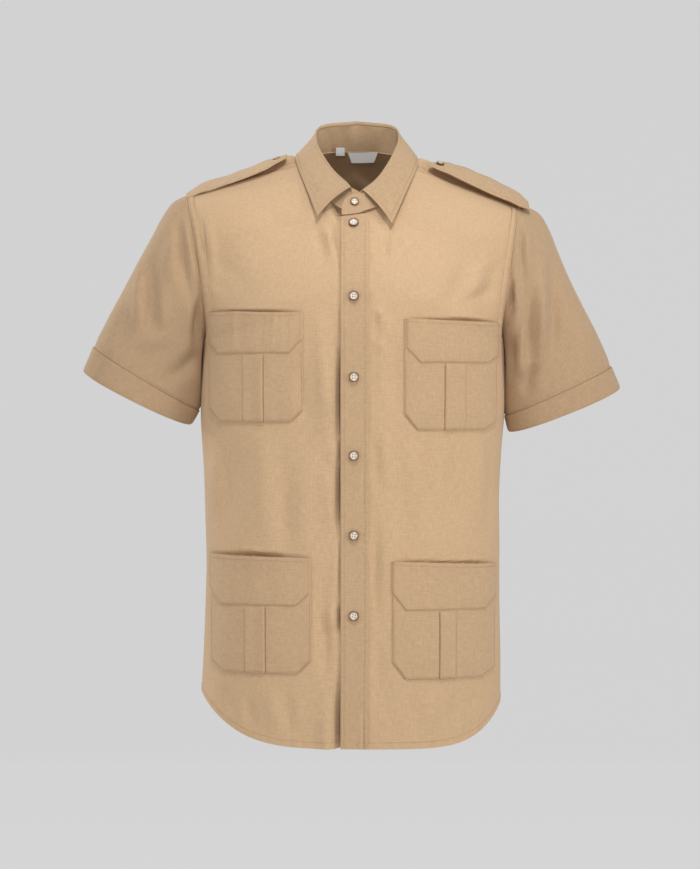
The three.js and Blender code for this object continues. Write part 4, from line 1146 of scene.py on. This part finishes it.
def sew(name, lines):
    """Stitches along lines of (points, ways out), joined into one mesh."""
    corners, faces = [], []
    for points, ways in lines:
        step = np.linalg.norm(np.diff(points, axis=0), axis=1)
        length = np.concatenate([[0], np.cumsum(step)])
        at = np.arange(1.2, length[-1] - 1.0, STITCH_PITCH)
        here, ahead, behind, way = (
            np.stack([np.interp(where, length, rows[:, k]) for k in range(3)], -1)
            for where, rows in ((at, points), (at + 0.8, points), (at - 0.8, points), (at, ways)))
        for p, a, w in zip(here, ahead - behind, way):
            a, w = a / max(np.linalg.norm(a), 1e-9), w / np.linalg.norm(w)
            side = np.cross(w, a)
            side /= max(np.linalg.norm(side), 1e-9)
            w = np.cross(a, side)
            base = len(corners) * len(stitch_co)
            corners.append(p + w * 0.12 + stitch_co @ np.stack([side, w, a]))
            faces.extend([[base + i for i in face] for face in stitch_faces])
    mesh = bpy.data.meshes.new(name)
    mesh.from_pydata((np.concatenate(corners) * MM).tolist(), [], faces)
    sewn = bpy.data.objects.new(name, mesh)
    bpy.context.collection.objects.link(sewn)
    mesh.materials.append(thread)
    mesh.polygons.foreach_set("use_smooth", [True] * len(mesh.polygons))
    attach(sewn, "root")


def seam_line(place, relief, u, v):
    """A line over a cloth, from the same form, creases included."""
    e = 0.0015
    u, v = (np.array(share, float)[None, :] for share in np.broadcast_arrays(u, v))
    point = place(u, v)
    du = place(np.clip(u + e, 0, 1), v) - place(np.clip(u - e, 0, 1), v)
    dv = place(u, np.clip(v + e, 0, 1)) - place(u, np.clip(v - e, 0, 1))
    way = np.cross(du, dv)
    way /= np.linalg.norm(way, axis=-1, keepdims=True)
    if relief is not None:
        point = point + way * relief(point, way, u, v)[..., None]
    return point[0], way[0]


# How far inside the edge a pocket's stitches run.
SEAM_IN = 1.9


def pocket_seam(p, part, place):
    """The stitches down one side of a bag or flap, along its lower edge and up the other."""
    span, side = p[part], 160
    run = np.concatenate([np.full(side, span[0]), np.linspace(*span, 400), np.full(side, span[1])])
    fall = np.concatenate([np.linspace(1, 0, side), np.zeros(400), np.linspace(0, 1, side)])
    x = np.clip(run, span[0] + SEAM_IN, span[1] - SEAM_IN)
    low, top = lower_edge(p, part, x), upper_edge(p, part, x)[0]
    slanted = (x < span[0] + p["cut"]) | (x > span[1] - p["cut"])
    z = low + SEAM_IN + 0.6 * slanted
    z = z + (top - z) * fall
    if part == "bag":
        keep = z < p["flap_low"] + 3
        x, z, low, top = x[keep], z[keep], low[keep], top[keep]
    shares = np.linspace(0, 1, 2000)
    u = np.interp(x, pocket_x(shares, p, part), shares)
    v = np.interp((z - low) / (top - low), *reversed(POCKET_ROWS[part]))
    return seam_line(place, None, u, v)


for name, p in POCKETS.items():
    flap = flap_place(p)
    lines = [pocket_seam(p, "flap", flap), seam_line(flap, None, np.linspace(0.02, 0.98, 300), 0.9)]
    for edge in (0.03, 0.94):
        # A short bar of close rows holds each upper corner.
        for v in (0.955, 0.962, 0.969, 0.976):
            lines.append(seam_line(flap, None, np.linspace(edge, edge + 0.035, 40), v))
    lines.append(pocket_seam(p, "bag", bag_place(p)))
    sew(f"stitches_pocket_{name}", lines)

placket_run = np.linspace(0.002, 0.995, 900)
sew("stitches_placket",
    [seam_line(placket_place, placket_relief, u, placket_run) for u in (0.13, 0.85)])

collar_lines = [seam_line(collar_place, collar_relief, np.linspace(0.013, 0.987, 500), 0.94)]
for u in (0.0125, 0.9875):
    collar_lines.append(seam_line(collar_place, collar_relief, u, np.linspace(0.52, 0.94, 90)))
sew("stitches_collar", collar_lines)

HEM_SEAM = 0.0095
for name, side in SIDES.items():
    form = front_place(name), front_relief(name)
    lines = []
    for edge in (0.80, 0.875):
        edge = edge if side["sign"] > 0 else 1 - edge
        lines.append(seam_line(*form, edge, np.linspace(0.66, 0.998, 260)))
    lines.append(seam_line(*form, np.linspace(0, 1, 420), HEM_SEAM))
    sew(f"stitches_front_{name}", lines)

yoke_lines = []
for low, high, count, rows in ((0.01, 0.99, 500, (0.014, 0.04)), (0.005, 0.31, 200, (0.985, 0.945)),
                               (0.69, 0.995, 200, (0.985, 0.945))):
    for v in rows:
        yoke_lines.append(seam_line(yoke_place, yoke_relief, np.linspace(low, high, count), v))
sew("stitches_yoke", yoke_lines)

sew("stitches_back",
    [seam_line(back_place, back_relief, np.linspace(0.002, 0.998, 500), HEM_SEAM)])

strap_run = np.linspace(0.02, 0.97, 160)
for name in STRAPS:
    sew(f"stitches_epaulette_{name}",
        [seam_line(strap_place(name), strap_relief, strap_run, v) for v in (0.11, 0.89)])
